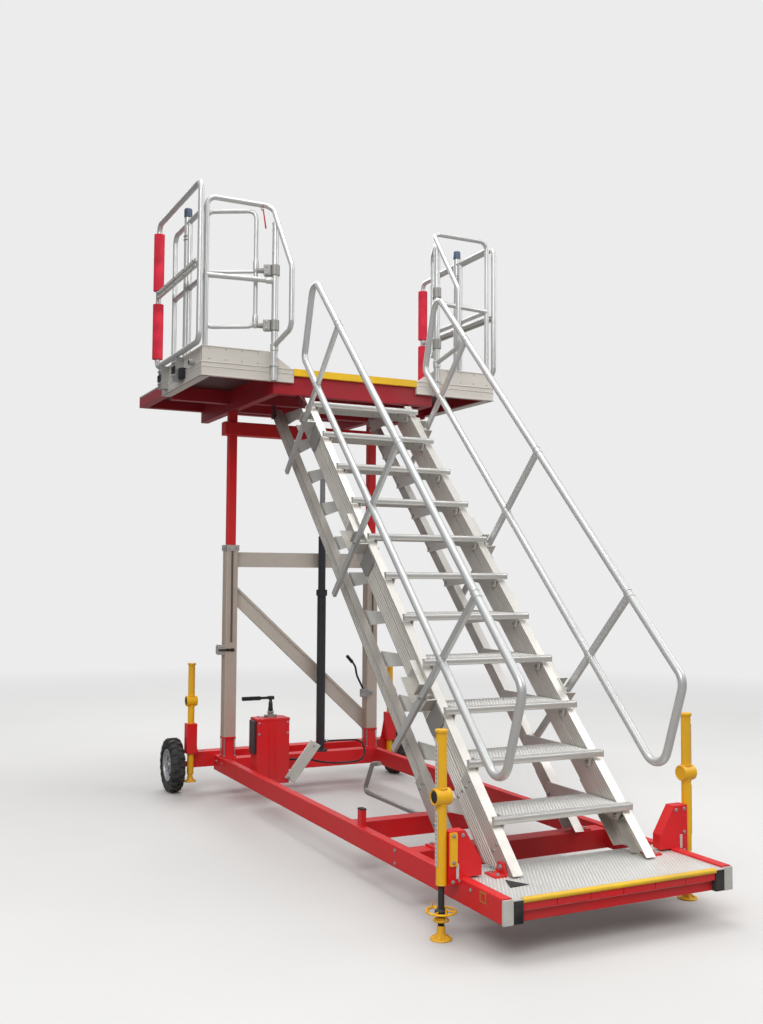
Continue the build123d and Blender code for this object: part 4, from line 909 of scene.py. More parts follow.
    def piece(
        self,
        body: str,
        finish_name: str,
        bevel: float = 0.0,
        replaces: str | None = None,
        second_finish: str | None = None,
    ) -> bpy.types.Object:
        """Turns the shape into a piece that rides on a body.

        Args:
            body: the body that carries it.
            finish_name: the name of its finish.
            bevel: width of the worn edge, or 0 for none.
            replaces: the node that it stands for.
            second_finish: the finish of the bottoms of punched holes, a painted shade.

        Returns:
            The new object.
        """
        mesh = bpy.data.meshes.new(self.name)
        mesh.from_pydata([(p.x, p.y - ORIGIN_Y, p.z) for p in self.points], [], self.faces)
        if not self.second:
            bm = bmesh.new()
            bm.from_mesh(mesh)
            bmesh.ops.recalc_face_normals(bm, faces=bm.faces)
            bm.to_mesh(mesh)
            bm.free()
        mesh.materials.append(finish(finish_name))
        if second_finish:
            mesh.materials.append(finish(second_finish))
            for number in self.second:
                mesh.polygons[number].material_index = 1
        mesh.polygons.foreach_set("use_smooth", [True] * len(mesh.polygons))
        mesh.set_sharp_from_angle(angle=SHARP_TURN)
        thing = place_object(self.name, mesh)
        if bevel:
            edge = thing.modifiers.new("worn_edge", "BEVEL")
            edge.width = bevel
            edge.segments = 2
            edge.limit_method = "ANGLE"
            edge.angle_limit = BEVEL_TURN
        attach(thing, body)
        if replaces:
            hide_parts(replaces)
        LOG.info("%s: %d faces on %s", self.name, len(mesh.polygons), body)
        return thing


class Assembly:
    """A sub-assembly whose methods named build_ and something each make some of its pieces."""

    def build(self) -> None:
        """Runs those methods in the order in which the class has them."""
        for name in vars(type(self)):
            if name.startswith("build_"):
                getattr(self, name)()


@dataclass
class Jack(Assembly):
    """One screw jack: its threaded screw, foot disc, handwheel and the fittings on its tube."""

    name: str
    x: float
    y: float
    tube_low: float
    tube_top: float
    collar: float
    foot: float
    disc: float
    hand: float | None = None
    screw: float = 0.015
    tube: float = 0.024
    pitch: float = 0.006
    thread: Pairs = ((0.0, 0.82), (0.35, 0.99), (0.6, 0.99))
    boss: Pairs = ((0.013, 0.026), (0.022, 0.021), (0.034, 0.019), (0.058, 0.0175), (0.060, 0.016))
    ring: float = 0.066
    posts: tuple[float, ...] = (100.0, 180.0, 260.0)
    hub: Pairs = ((-0.022, 0.020), (-0.018, 0.0285), (0.004, 0.0285), (0.009, 0.022), (0.011, 0.017))
    lock_ring: float = 0.033
    lock_level: float = 0.084
    lock_boss: Pairs = ((-0.010, 0.019), (0.010, 0.019), (0.013, 0.016))
    collar_half: float = 0.037
    plug: Pairs = ((0.0, 0.027), (0.0012, 0.027), (0.0016, 0.019), (0.0005, 0.016), (0.0005, 0.0))

    @property
    def side(self) -> int:
        """Right or left, as 1 or -1."""
        return 1 if self.x > 0 else -1

    def at(self, level: float, radius: float = 0.0, spoke: Pair = (1.0, 0.0)) -> Point:
        """Returns the point at a level, off the jack's axis along a spoke."""
        return (self.x + radius * spoke[0], self.y + radius * spoke[1], level)

    def build_screw(self) -> None:
        """Turns the threaded screw, which stands for the plain one."""
        shape = Shape(f"{self.name}_thread")
        profile = [(self.foot + 0.018, self.screw * 0.8)]
        level = self.foot + 0.022
        while level < self.tube_low + 0.105:
            profile += [(level + self.pitch * rise, self.screw * width) for rise, width in self.thread]
            level += self.pitch
        profile += [(level, self.screw * 0.98), (self.tube_top - 0.300, self.screw * 0.98)]
        shape.turned(self.at(0.0), UP, profile, 20)
        shape.piece(f"{self.name}_jack", "dark_steel", replaces=f"{self.name}_jack_screw")

    def build_foot(self) -> None:
        """Makes the ribbed foot disc with its boss and lock ring."""
        shape = Shape(f"{self.name}_foot_disc")
        rim = [(0.0, self.disc), (0.004, self.disc), (0.008, self.disc - 0.003), (0.010, self.disc - 0.010)]
        shape.turned(self.at(self.foot), UP, rim + list(self.boss), 40)
        low, high, thick = self.foot + 0.008, self.foot + 0.024, 0.003
        for c, s in spokes(6):
            start, end = self.at(low, 0.018, (c, s)), self.at(low, self.disc - 0.008, (c, s))
            side = Vector((-s, c, 0.0)) * thick
            corners = (start, end, (*end[:2], low + 0.004), (*start[:2], high))
            shape.prism([Vector(corner) - side / 2 for corner in corners], side)
        shape.piece(f"{self.name}_jack", "jack_yellow", bevel=0.0006)

    def build_handwheel(self) -> None:
        """Makes the handwheel with its spinner posts and the lock ring below it, where the jack has them."""
        if self.hand is None:
            return
        wheel = Shape(f"{self.name}_handwheel")
        centre, low = self.at(self.hand), self.at(self.lock_level)
        wheel.ring(centre, UP, self.ring, 0.0052, 56, 12)
        for spoke in spokes(3, math.radians(90)):
            wheel.rod(centre, self.at(self.hand, self.ring, spoke), 0.0042)
        for turn in (math.radians(post) for post in self.posts):
            spoke = (-self.side * math.cos(turn), math.sin(turn))
            post_top = self.at(self.hand + 0.028, self.ring, spoke)
            wheel.rod(self.at(self.hand, self.ring, spoke), post_top, 0.0045, 12, 0.0038)
        wheel.ring(low, UP, self.lock_ring, 0.0045, 44, 10)
        for spoke in spokes(3, math.radians(30)):
            wheel.rod(low, self.at(self.lock_level, self.lock_ring, spoke), 0.004)
        wheel.turned(low, UP, self.lock_boss, 24)
        wheel.piece(f"{self.name}_jack", "jack_yellow")
        hub = Shape(f"{self.name}_wheel_hub")
        hub.turned(centre, UP, self.hub, 28)
        hub.piece(f"{self.name}_jack", "dark_steel")

    def build_tube_fittings(self) -> None:
        """Adds weld beads, the cap's rim and the collar's end plug."""
        beads = Shape(f"{self.name}_tube_beads")
        for level in (self.collar - self.collar_half, self.collar + self.collar_half):
            beads.ring(self.at(level), UP, self.tube + 0.001, 0.0028, 32)
        beads.ring(self.at(self.tube_low + 0.003), UP, self.tube - 0.001, 0.0022, 32)
        beads.ring(self.at(self.tube_top + 0.010), UP, 0.0275, 0.0022, 32)
        for end in SIDES:
            beads.ring(self.at(self.collar, end * self.collar_half), ACROSS, 0.0335, 0.0035)
        beads.piece("chassis", "jack_yellow")
        plug = Shape(f"{self.name}_collar_plug")
        plug.turned(self.at(self.collar, self.side * self.collar_half), (self.side, 0, 0), self.plug, 28)
        plug.piece("chassis", "dark_steel")


@dataclass
class ScaleStrip:
    """The white strip with punched holes on the outer side of a front jack's tube."""

    side: int
    x: float = 0.706
    y: float = 0.388
    off: Pair = (0.0235, 0.0265)
    spans: Pairs = ((0.318, 0.560), (0.664, 0.862))
    half_width: float = 0.011
    step: float = 0.020
    hole: float = 0.0042

    def build(self) -> None:
        """Builds the strip, and dark discs in its holes that paint the shade inside them."""
        strip = Shape(f"{side_name(self.side)}_jack_strip")
        # The dark discs in the holes paint the shade inside them.
        marks = Shape(f"{side_name(self.side)}_jack_strip_holes")
        inner, outer = (self.x + off for off in self.off)
        width = (self.y - self.half_width, self.y + self.half_width)
        bottom, mouth = self.side * (outer - 0.001), self.side * (outer + 0.0004)
        for low, high in self.spans:
            strip.box((inner, outer), width, (low, high), self.side)
            level = low + self.step
            while level < high - self.step / 2:
                marks.rod((bottom, self.y, level), (mouth, self.y, level), self.hole, 10)
                level += self.step
        strip.piece("chassis", "white_enamel", bevel=0.0006)
        marks.piece("chassis", "punched_hole_shade")


@dataclass
class Wheel(Assembly):
    """A rear wheel: lugged tyre, rim with windows, hub cap and nuts."""

    side: int
    x: float = 0.915
    y: float = 4.018
    radius: float = 0.195
    tyre: Pairs = (
        (0.034, 0.1155), (0.0455, 0.128), (0.050, 0.145), (0.050, 0.163), (0.041, 0.179), (0.022, 0.1855)
    )
    tread: float = 0.187
    lugs: int = 20
    lug_turns: Pair = (0.070, 0.058)
    lug_stations: tuple[tuple[float, ...], ...] = (
        (0.000, 0.000, 0.183, 0.1948), (0.030, 0.035, 0.180, 0.1944),
        (0.044, 0.055, 0.174, 0.1865), (0.0512, 0.062, 0.158, 0.168),
    )
    side_beads: Pair = (0.133, 0.150)
    barrel: Pairs = ((0.042, 0.107), (0.043, 0.116), (0.035, 0.1165), (0.030, 0.110))
    disc: Pairs = (
        (0.020, 0.024), (0.044, 0.026), (0.052, 0.020), (0.060, 0.017),
        (0.088, 0.017), (0.096, 0.022), (0.104, 0.030),
    )
    windows: int = 6
    window_ring: int = 3
    cap: Pairs = ((-0.006, 0.030), (0.004, 0.030), (0.013, 0.026), (0.017, 0.018), (0.018, 0.0))
    cap_face: float = 0.026

    @property
    def name(self) -> str:
        """Left or right, as in the body's name."""
        return side_name(self.side)

    def centre(self, across: float = 0.0) -> Point:
        """Returns the point on the wheel's axis that lies some way across it."""
        return (self.side * self.x + across, self.y, self.radius)

    def polar(self, across: float, turn: float, radius: float) -> Vector:
        """Returns a point by its place across the wheel, its turn and its radius."""
        x, y, z = self.centre(across)
        return Vector((x, y + radius * math.cos(turn), z + radius * math.sin(turn)))

    def lug(self, way: int, turn: float) -> list[list[Vector]]:
        """Returns the sections of one lug, from the tread's middle down the tyre's side.

        Args:
            way: the side of the tyre.
            turn: its place round the wheel.

        Returns:
            The sections.
        """
        foot, crest = self.lug_turns
        rings = []
        for across, sweep, low, high in self.lug_stations:
            corners = ((-foot, low), (-crest, high), (crest, high), (foot, low))
            rings.append([self.polar(way * across, turn + sweep + off, radius) for off, radius in corners])
        return rings

    def build_tyre(self) -> None:
        """Makes the tyre's carcass with staggered lugs that run down its sides."""
        shape = Shape(f"{self.name}_lugged_tyre")
        profile = [(-a, r) for a, r in self.tyre] + [(0.0, self.tread), *reversed(self.tyre)]
        shape.turned(self.centre(), ACROSS, profile, 72, closed=True)
        for way in SIDES:
            for number in range(self.lugs):
                shape.loft(self.lug(way, 2 * math.pi * (number + (0.5 if way > 0 else 0.0)) / self.lugs))
            for level in self.side_beads:
                shape.ring(self.centre(way * 0.0485), ACROSS, level, 0.0018, 64, 6)
        shape.piece(f"{self.name}_wheel", "tyre_rubber", replaces=f"{self.name}_tyre")

    def build_rim(self) -> None:
        """Makes the rim's barrel, its dished disc with windows, and a dark disc behind the windows that
        paints the shade inside the wheel.
        """
        barrel = Shape(f"{self.name}_rim_barrel")
        profile = [*self.barrel, *((-a, r) for a, r in reversed(self.barrel))]
        profile += [(-0.036, 0.103), (0.036, 0.103)]
        barrel.turned(self.centre(), ACROSS, profile, 64, closed=True)
        barrel.piece(f"{self.name}_wheel", "rim_silver", replaces=f"{self.name}_rim")
        disc = Shape(f"{self.name}_rim_disc")
        sides = self.windows * 10
        window = [i for i in range(sides) if 2 <= i % 10 < 8]
        turns = [2 * math.pi * i / sides for i in range(sides)]
        for radius, depth in self.disc:
            disc.points += [self.polar(self.side * depth, turn, radius) for turn in turns]
        for ring in range(len(self.disc) - 1):
            disc.band(ring * sides, (ring + 1) * sides, sides, window if ring == self.window_ring else ())
        thing = disc.piece(f"{self.name}_wheel", "rim_silver")
        thick = thing.modifiers.new("plate", "SOLIDIFY")
        thick.thickness = 0.005
        thick.offset = 0.0
        round_off = thing.modifiers.new("round_off", "BEVEL")
        round_off.width = 0.0012
        round_off.segments = 2
        # A dark disc behind the windows paints the shade inside the wheel.
        back = Shape(f"{self.name}_rim_shade")
        back.turned(self.centre(self.side * -0.012), (self.side, 0, 0), [(0.0, 0.101), (0.002, 0.101)], 48)
        back.piece(f"{self.name}_wheel", "dark_steel")

    def build_hub(self) -> None:
        """Makes the hub cap and its ring of nuts."""
        hub = Shape(f"{self.name}_hub_cap")
        hub.turned(self.centre(self.side * self.cap_face), (self.side, 0, 0), self.cap)
        for number in range(5):
            place = self.polar(self.side * self.cap_face, 2 * math.pi * number / 5 + 0.3, 0.038)
            hub.bolt(place, (self.side, 0, 0), 0.0062)
        hub.piece(f"{self.name}_wheel", "zinc_steel")


@dataclass
class ChassisTrim(Assembly):
    """Bolts, plates and strips on the chassis."""

    beam: float = 0.630
    step_half: float = 0.531
    step_top: float = 0.255
    nosing_height: float = 0.021
    nosing_depth: float = 0.024
    nosing_lip: float = 0.004
    strip_sections: int = 6
    strip_gap: float = 0.003
    foot_places: Pair = (FOOT_PIVOT[0], FOOT_PIVOT[0] + REAR_OFFSET)
    beam_bolts: Pairs = ((0.262, 0.236), (0.985, 0.240), (0.985, 0.178), (3.745, 0.225), (3.865, 0.225))
    gusset_bolts: Pairs = ((0.663, 0.452), (0.663, 0.338), (0.612, 0.450), (0.628, 0.252), (0.662, 0.248))
    strap_bolts: Pair = (0.452, 0.336)
    plate_middle: Pair = (0.158, 0.232)
    plate_half: float = 0.021
    triangle: Pairs = ((-0.448, 0.268), (-0.492, 0.160), (-0.392, 0.166))
    cross_members: Pairs = ((0.860, 0.255), (0.960, 0.255), (1.540, 0.255), (1.630, 0.255), (3.700, 0.265))

    def build_nosing(self) -> None:
        """Runs the round yellow bead along the front edge of the base step."""
        front, back = -self.nosing_lip, self.nosing_depth - self.nosing_lip
        top = self.step_top + self.nosing_lip
        low = top - self.nosing_height
        round_part = self.nosing_height * 0.42
        inner = front + round_part + 0.001
        profile = [(back, top), (back, self.step_top), (inner, self.step_top), (inner, low)]
        for turn in (math.pi * step / 8 for step in range(9)):
            y = front + round_part * (1 - math.sin(turn))
            profile.append((y, (top + low) / 2 - (top - low) / 2 * math.cos(turn)))
        bead = Shape("base_nosing_bead")
        bead.prism([(-self.step_half, y, z) for y, z in profile], (2 * self.step_half, 0.0, 0.0))
        bead.piece("chassis", "tread_yellow", replaces="base_nosing")

    def build_step(self) -> None:
        """Puts the red strip of short sections under the nosing and raises the punched rows of the step."""
        strip = Shape("step_front_strip")
        width = 2 * self.step_half / self.strip_sections
        for number in range(self.strip_sections):
            left = -self.step_half + number * width + self.strip_gap / 2
            strip.box((left, left + width - self.strip_gap), (0.006, 0.030), (0.206, 0.242))
        strip.piece("chassis", "red_enamel", bevel=0.002)
        rows = Shape("base_step_grip")
        rows.studs((-0.565, 0.565), (0.040, 0.485), self.step_top)
        # The studs' tops take the grey that paints the shade in the holes.
        rows.piece("chassis", "grip_rim", second_finish="punched_hole_shade")

    def build_bolts(self) -> None:
        """Sets the bolts of the beams, foot brackets, gussets, axle and strap."""
        bolts = Shape("chassis_bolts")
        bolts.bolts(
            (0.0075, ACROSS, [(self.beam, y, z) for y, z in self.beam_bolts]),
            (0.009, UP, [(0.452, y + off, 0.265) for y in self.foot_places for off in (-0.028, 0.028)]),
            (0.012, ACROSS, [(0.4213, y, FOOT_PIVOT[1]) for y in self.foot_places]),
            (0.0075, FORE, [(x, 0.358, z) for x, z in self.gusset_bolts]),
            (0.0075, (0, 1, 0), [(x, 0.418, 0.300) for x in (0.660, 0.640)]),
            (0.009, UP, [(x, 3.985, 0.290) for x in (0.70, 0.86)]),
        )
        for z in self.strap_bolts:
            bolts.bolt((-0.6635, 0.348, z), FORE, 0.0075)
        bolts.piece("chassis", "zinc_steel")

    def build_plates(self) -> None:
        """Adds the blank framed plate, the grip triangle, the spacers and the stand's pad."""
        face, (y, z), half = -self.beam, self.plate_middle, self.plate_half
        border = Shape("blank_frame_plate")
        for low, high in ((-0.026, -half), (half, 0.026)):
            border.box((face - 0.0025, face), (y + low, y + high), (z - 0.022, z + 0.022))
        for low, high in ((-0.022, -0.0175), (0.0175, 0.022)):
            border.box((face - 0.0025, face), (y - half, y + half), (z + low, z + high))
        border.piece("chassis", "dark_yellow", bevel=0.0008)
        centre = Shape("blank_plate_centre")
        centre.box((face - 0.0010, face), (y - half, y + half), (z - 0.0175, z + 0.0175))
        centre.piece("chassis", "red_enamel")
        grip = Shape("foot_grip_triangle")
        grip.prism([(*corner, self.step_top + 0.0002) for corner in self.triangle], (0.0, 0.0, 0.0035))
        grip.piece("chassis", "black_grip", bevel=0.001)
        spacer = Shape("gusset_spacers")
        spacer.boxes([((0.634, 0.648), (0.354, 0.358), (0.262, 0.328))])
        spacer.piece("chassis", "white_enamel", bevel=0.001)
        pad = Shape("stand_pad")
        pad.box((-0.622, -0.588), (1.398, 1.447), (0.353, 0.361))
        pad.piece("chassis", "black_rubber", bevel=0.003)

    def build_welds(self) -> None:
        """Adds weld beads where the cross members meet the beams."""
        beads = Shape("chassis_welds")
        for side in SIDES:
            for y, top in self.cross_members:
                beads.rod((side * 0.5795, y, 0.159), (side * 0.5795, y, top - 0.004), 0.0032, 8)
            beads.rod((side * 0.634, 0.3605, 0.266), (side * 0.580, 0.3605, 0.266), 0.003, 8)
        beads.piece("chassis", "red_enamel")


@dataclass
class MastDress(Assembly):
    """Grooved faces, top collars, feet and the latch of the outer masts."""

    x: float = 0.573
    y: float = 3.780
    half: float = 0.045
    low: float = 0.416
    top: float = 1.781
    inner_top: float = 1.62
    front_low: float = 1.10
    ridges: tuple[float, ...] = (-0.026, -0.012, 0.012, 0.026)
    ridge_half: float = 0.0025
    slot_half: float = 0.008
    collar: Pair = (1.768, 1.812)
    collar_wall: float = 0.006
    bolt_off: float = 0.024
    stud_off: float = 0.040
    latch: Pair = (3.729, 1.046)

    def build_ribs(self) -> None:
        """Raises the ridges beside the slots of the extrusion, and lays a dark strip of painted shade in each
        front slot.
        """
        ribs, slots = Shape("mast_ridges"), Shape("mast_slot_shades")
        front = self.y - self.half
        rows = []
        for near, far in ((ridge - self.ridge_half, ridge + self.ridge_half) for ridge in self.ridges):
            rows.append(((self.x + near, self.x + far), (front - 0.002, front), (self.front_low, self.top)))
            for way, high in ((1, self.top), (-1, self.inner_top)):
                face = self.x + way * self.half
                ends = (self.low + 0.01, high)
                rows.append(((face, face + way * 0.002), (self.y + near, self.y + far), ends))
        ribs.boxes(rows)
        ribs.piece("chassis", "mast_aluminium", bevel=0.0007)
        # A dark grey strip in each front slot paints the shade in it.
        slot = (self.x - self.slot_half, self.x + self.slot_half)
        slots.boxes([(slot, (front - 0.0006, front), (self.front_low, self.top))])
        slots.piece("chassis", "slot_shade")

    def build_collars(self) -> None:
        """Puts a bolted collar round the top of each mast."""
        collars, bolts = Shape("mast_collars"), Shape("mast_collar_bolts")
        thin, wide = self.half, self.half + self.collar_wall
        level = sum(self.collar) / 2
        for way in SIDES:
            collars.boxes([
                ((self.x + way * thin, self.x + way * wide), (self.y - wide, self.y + wide), self.collar),
                ((self.x - wide, self.x + wide), (self.y + way * thin, self.y + way * wide), self.collar),
            ])
            bolts.bolts(
                (0.007, FORE, [(self.x + way * self.bolt_off, self.y - wide, level)]),
                (0.007, ACROSS, [(self.x + wide, self.y + way * self.bolt_off, level)]),
            )
        collars.piece("chassis", "extruded_aluminium", bevel=0.002)
        bolts.piece("chassis", "zinc_steel")

    def build_feet(self) -> None:
        """Sets threaded studs and nuts round the pedestals."""
        feet = Shape("mast_foot_studs")
        off = self.stud_off
        places = [(self.x + dx, self.y + dy) for dx in (-off, off) for dy in (-off, off)]
        feet.bolts(
            (0.0075, UP, [(*place, 0.277) for place in places]),
            (0.0065, (0, 0, -1), [(*place, 0.404) for place in places]),
        )
        feet.rods([((*place, 0.285), (*place, 0.400)) for place in places], 0.0038, 10)
        feet.piece("chassis", "zinc_steel")

    def build_latch(self) -> None:
        """Adds the spring latch on the left mast."""
        block = Shape("mast_latch_block")
        outer = -self.x - self.half
        block.box((outer - 0.046, outer), (3.742, 3.800), (1.010, 1.082))
        block.box((outer - 0.050, outer - 0.040), (3.736, 3.806), (1.018, 1.074))
        for z in (1.022, 1.070):
            block.bolt((outer - 0.022, 3.742, z), FORE, 0.0055)
        block.piece("chassis", "extruded_aluminium", bevel=0.002)
        pin = Shape("mast_latch_pin")
        pin.rod((outer - 0.052, *self.latch), (-0.572, *self.latch), 0.0065)
        knob = [(0.0, 0.007), (0.003, 0.0115), (0.022, 0.0115), (0.026, 0.009)]
        pin.turned((-0.578, *self.latch), ACROSS, knob, 20)
        for x in (-0.600, -0.582):
            pin.ring((x, *self.latch), ACROSS, 0.0085, 0.0016, 20, 6)
        pin.box((-0.606, -0.596), (3.729, 3.7355), (1.036, 1.056))
        pin.piece("chassis", "dark_steel")


@dataclass
class PumpDress(Assembly):
    """Box fittings, valve, grip, levers and the ram's fittings."""

    front: float = 3.230
    left: float = -0.545
    right: float = -0.308
    top: float = 0.600
    ribs: Pair = (-0.447, -0.405)
    rib_outline: Pairs = ((-0.007, 0.545), (0.007, 0.545), (0.009, 0.200), (-0.009, 0.200))
    valve: Pair = (-0.425, 3.300)
    valve_profile: Pairs = (
        (0.0, 0.026), (0.008, 0.026), (0.010, 0.019), (0.030, 0.019),
        (0.034, 0.024), (0.044, 0.024), (0.048, 0.014), (0.096, 0.011),
    )
    stem_profile: Pairs = (
        (0.0, 0.016), (0.006, 0.018), (0.034, 0.015), (0.062, 0.014), (0.068, 0.010), (0.096, 0.009)
    )
    lever_y: float = 3.218
    lever: Pairs = ((-0.345, 0.192), (-0.272, 0.150), (-0.074, 0.396), (-0.150, 0.440))
    control_y: float = 3.715
    control_route: Pairs = ((0.498, 0.700), (0.430, 0.830), (0.420, 0.900), (0.348, 0.978))
    control_grip: Pair = (0.395, 0.927)
    control_run: Point = (-0.047, 0.0, 0.051)
    box_gland: Pairs = (
        (0.0, 0.0165), (0.003, 0.0165), (0.003, 0.0135), (0.014, 0.0135), (0.015, 0.0115), (0.0215, 0.0110)
    )
    ram_gland: Pairs = ((0.0, 0.0112), (0.008, 0.0115), (0.009, 0.0138), (0.022, 0.0138))
    ram: Pair = (0.150, 3.755)

    def build_box(self) -> None:
        """Adds the folded ribs, the lid's edge, the bolts and the side plate."""
        ribs = Shape("pump_box_ribs")
        for x in self.ribs:
            ribs.prism([(x + off, self.front, z) for off, z in self.rib_outline], (0.0, -0.004, 0.0))
        lid = (self.left - 0.002, self.right + 0.002)
        ribs.box(lid, (self.front - 0.002, 3.372), (self.top - 0.012, self.top + 0.003))
        ribs.piece("chassis", "red_enamel", bevel=0.002)
        bolts = Shape("pump_box_bolts")
        for x, z in product((-0.530, -0.323), (0.572, 0.498)):
            bolts.bolt((x, self.front, z), FORE, 0.0065)
        for x, y in product((-0.500, -0.345), (3.26, 3.345)):
            bolts.bolt((x, y, self.top + 0.003), UP, 0.007)
        bolts.piece("chassis", "zinc_steel")
        plate = Shape("pump_side_plate")
        plate.box((self.left - 0.018, self.left), (3.245, 3.350), (0.362, 0.588))
        plate.piece("chassis", "black_enamel", bevel=0.004)

    def build_valve(self) -> None:
        """Makes the valve body, its stem and the dark grip."""
        x, y = self.valve
        cross = self.top + 0.014
        body = Shape("valve_body")
        body.turned((x, y, self.top), UP, self.valve_profile, 20)
        body.box((x - 0.030, x + 0.030), (y - 0.022, y + 0.022), (self.top, self.top + 0.022))
        body.rod((x - 0.045, y, cross), (x + 0.045, y, cross), 0.008, 6)
        for way in SIDES:
            body.bolt((x + way * 0.040, y, cross), (way, 0, 0), 0.008)
        body.piece("chassis", "zinc_steel", bevel=0.0012, replaces="pump_valve")
        stem = Shape("valve_stem")
        stem.turned((x, y, self.top + 0.046), UP, self.stem_profile, 18)
        stem.piece("chassis", "dark_steel")
        grip = Shape("valve_grip")
        z = self.top + 0.138
        grip.box((-0.630, -0.402), (y - 0.010, y + 0.010), (z - 0.008, z + 0.009))
        grip.box((-0.634, -0.500), (y - 0.014, y + 0.014), (z - 0.013, z + 0.013))
        grip.box((-0.445, -0.402), (y - 0.016, y + 0.016), (z - 0.012, z + 0.012))
        grip.piece("chassis", "black_rubber", bevel=0.004)

    def build_pump_lever(self) -> None:
        """Makes the flat white pump lever with its pivots."""
        lever = Shape("pump_lever")
        lever.prism([(x, self.lever_y, z) for x, z in self.lever], (0.0, 0.012, 0.0))
        lever.piece("chassis", "white_enamel", bevel=0.005, replaces="hand_levers")
        pivot = Shape("pump_lever_pivot")
        pivot.bolt((-0.318, self.lever_y, 0.192), FORE, 0.010)
        pivot.bolt((-0.128, self.lever_y, 0.396), FORE, 0.006)
        pivot.piece("chassis", "zinc_steel")

    def build_control(self) -> None:
        """Makes the bent control lever on the right mast, with its block and its ringed grip."""
        y = self.control_y
        block = Shape("control_block")
        block.box((0.468, 0.528), (3.695, 3.735), (0.660, 0.720))
        block.box((0.498, 0.578), (3.723, 3.735), (0.675, 0.705))
        for place in ((0.480, 3.695, 0.672), (0.516, 3.695, 0.708), (0.560, 3.723, 0.690)):
            block.bolt(place, FORE, 0.0065)
        block.rod((0.498, y, 0.720), (0.498, y, 0.742), 0.013, 16)
        block.piece("chassis", "zinc_steel", bevel=0.002)
        rod = Shape("control_lever")
        rod.bent([(x, y, z) for x, z in self.control_route], 0.030, 0.0078, 14)
        rod.piece("chassis", "dark_steel")
        grip = Shape("control_grip")
        start, run = Vector((self.control_grip[0], y, self.control_grip[1])), Vector(self.control_run)
        long = run.length
        ends = [(long - 0.004, 0.013), (long, 0.0105), (long + 0.003, 0.006)]
        grip.turned(start, run, [(0.0, 0.009), (0.002, 0.0125), (long * 0.5, 0.0118), *ends], 20)
        for step in range(6):
            grip.ring(start + run * (0.15 + 0.14 * step), run, 0.0118, 0.0015, 20, 6)
        grip.piece("chassis", "black_rubber")

    def build_fittings(self) -> None:
        """Adds the hexagon glands of the hose and the ram's clamp bolts."""
        glands = Shape("hose_glands")
        glands.turned((self.right, 3.300, 0.300), ACROSS, self.box_gland, 6)
        glands.turned((0.2145, 3.755, 0.335), INWARD, self.ram_gland, 6)
        glands.piece("chassis", "zinc_steel")
        ram = Shape("ram_bolts")
        x, y = self.ram
        for c, s in spokes(6, 0.3):
            ram.bolt((x + 0.045 * c, y + 0.045 * s, 0.277), UP, 0.006)
            ram.bolt((x + 0.036 * c, y + 0.036 * s, 1.480), UP, 0.0045)
        ram.ring((x, y, 1.440), UP, 0.040, 0.003)
        ram.ring((x, y, 1.878), UP, 0.0285, 0.003, 32)
        ram.piece("chassis", "dark_steel")


@dataclass
class HydraulicHose:
    """The hose from the pump box to the foot of the ram."""

    route: tuple[Point, ...] = (
        (-0.286, 3.300, 0.300), (-0.150, 3.300, 0.300), (0.040, 3.440, 0.235), (0.250, 3.610, 0.190),
        (0.470, 3.630, 0.190), (0.482, 3.690, 0.335), (0.360, 3.755, 0.335), (0.215, 3.755, 0.335),
    )
    diameter: float = 0.014
    length: float = 1.245

    def build(self) -> None:
        line = bpy.data.curves.new("pump_hose", "CURVE")
        line.dimensions = "3D"
        line.bevel_depth = self.diameter / 2
        line.bevel_resolution = 6
        line.resolution_u = 12
        spline = line.splines.new("NURBS")
        spline.points.add(len(self.route) - 1)
        for point, (x, y, z) in zip(spline.points, self.route):
            point.co = (x, y - ORIGIN_Y, z, 1.0)
        spline.order_u = 3
        spline.use_endpoint_u = True
        line.materials.append(finish("black_rubber"))
        hose = place_object("pump_hose", line)
        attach(hose, "chassis")
        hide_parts("hydraulic_hose")
        x, y, z = self.route[0]


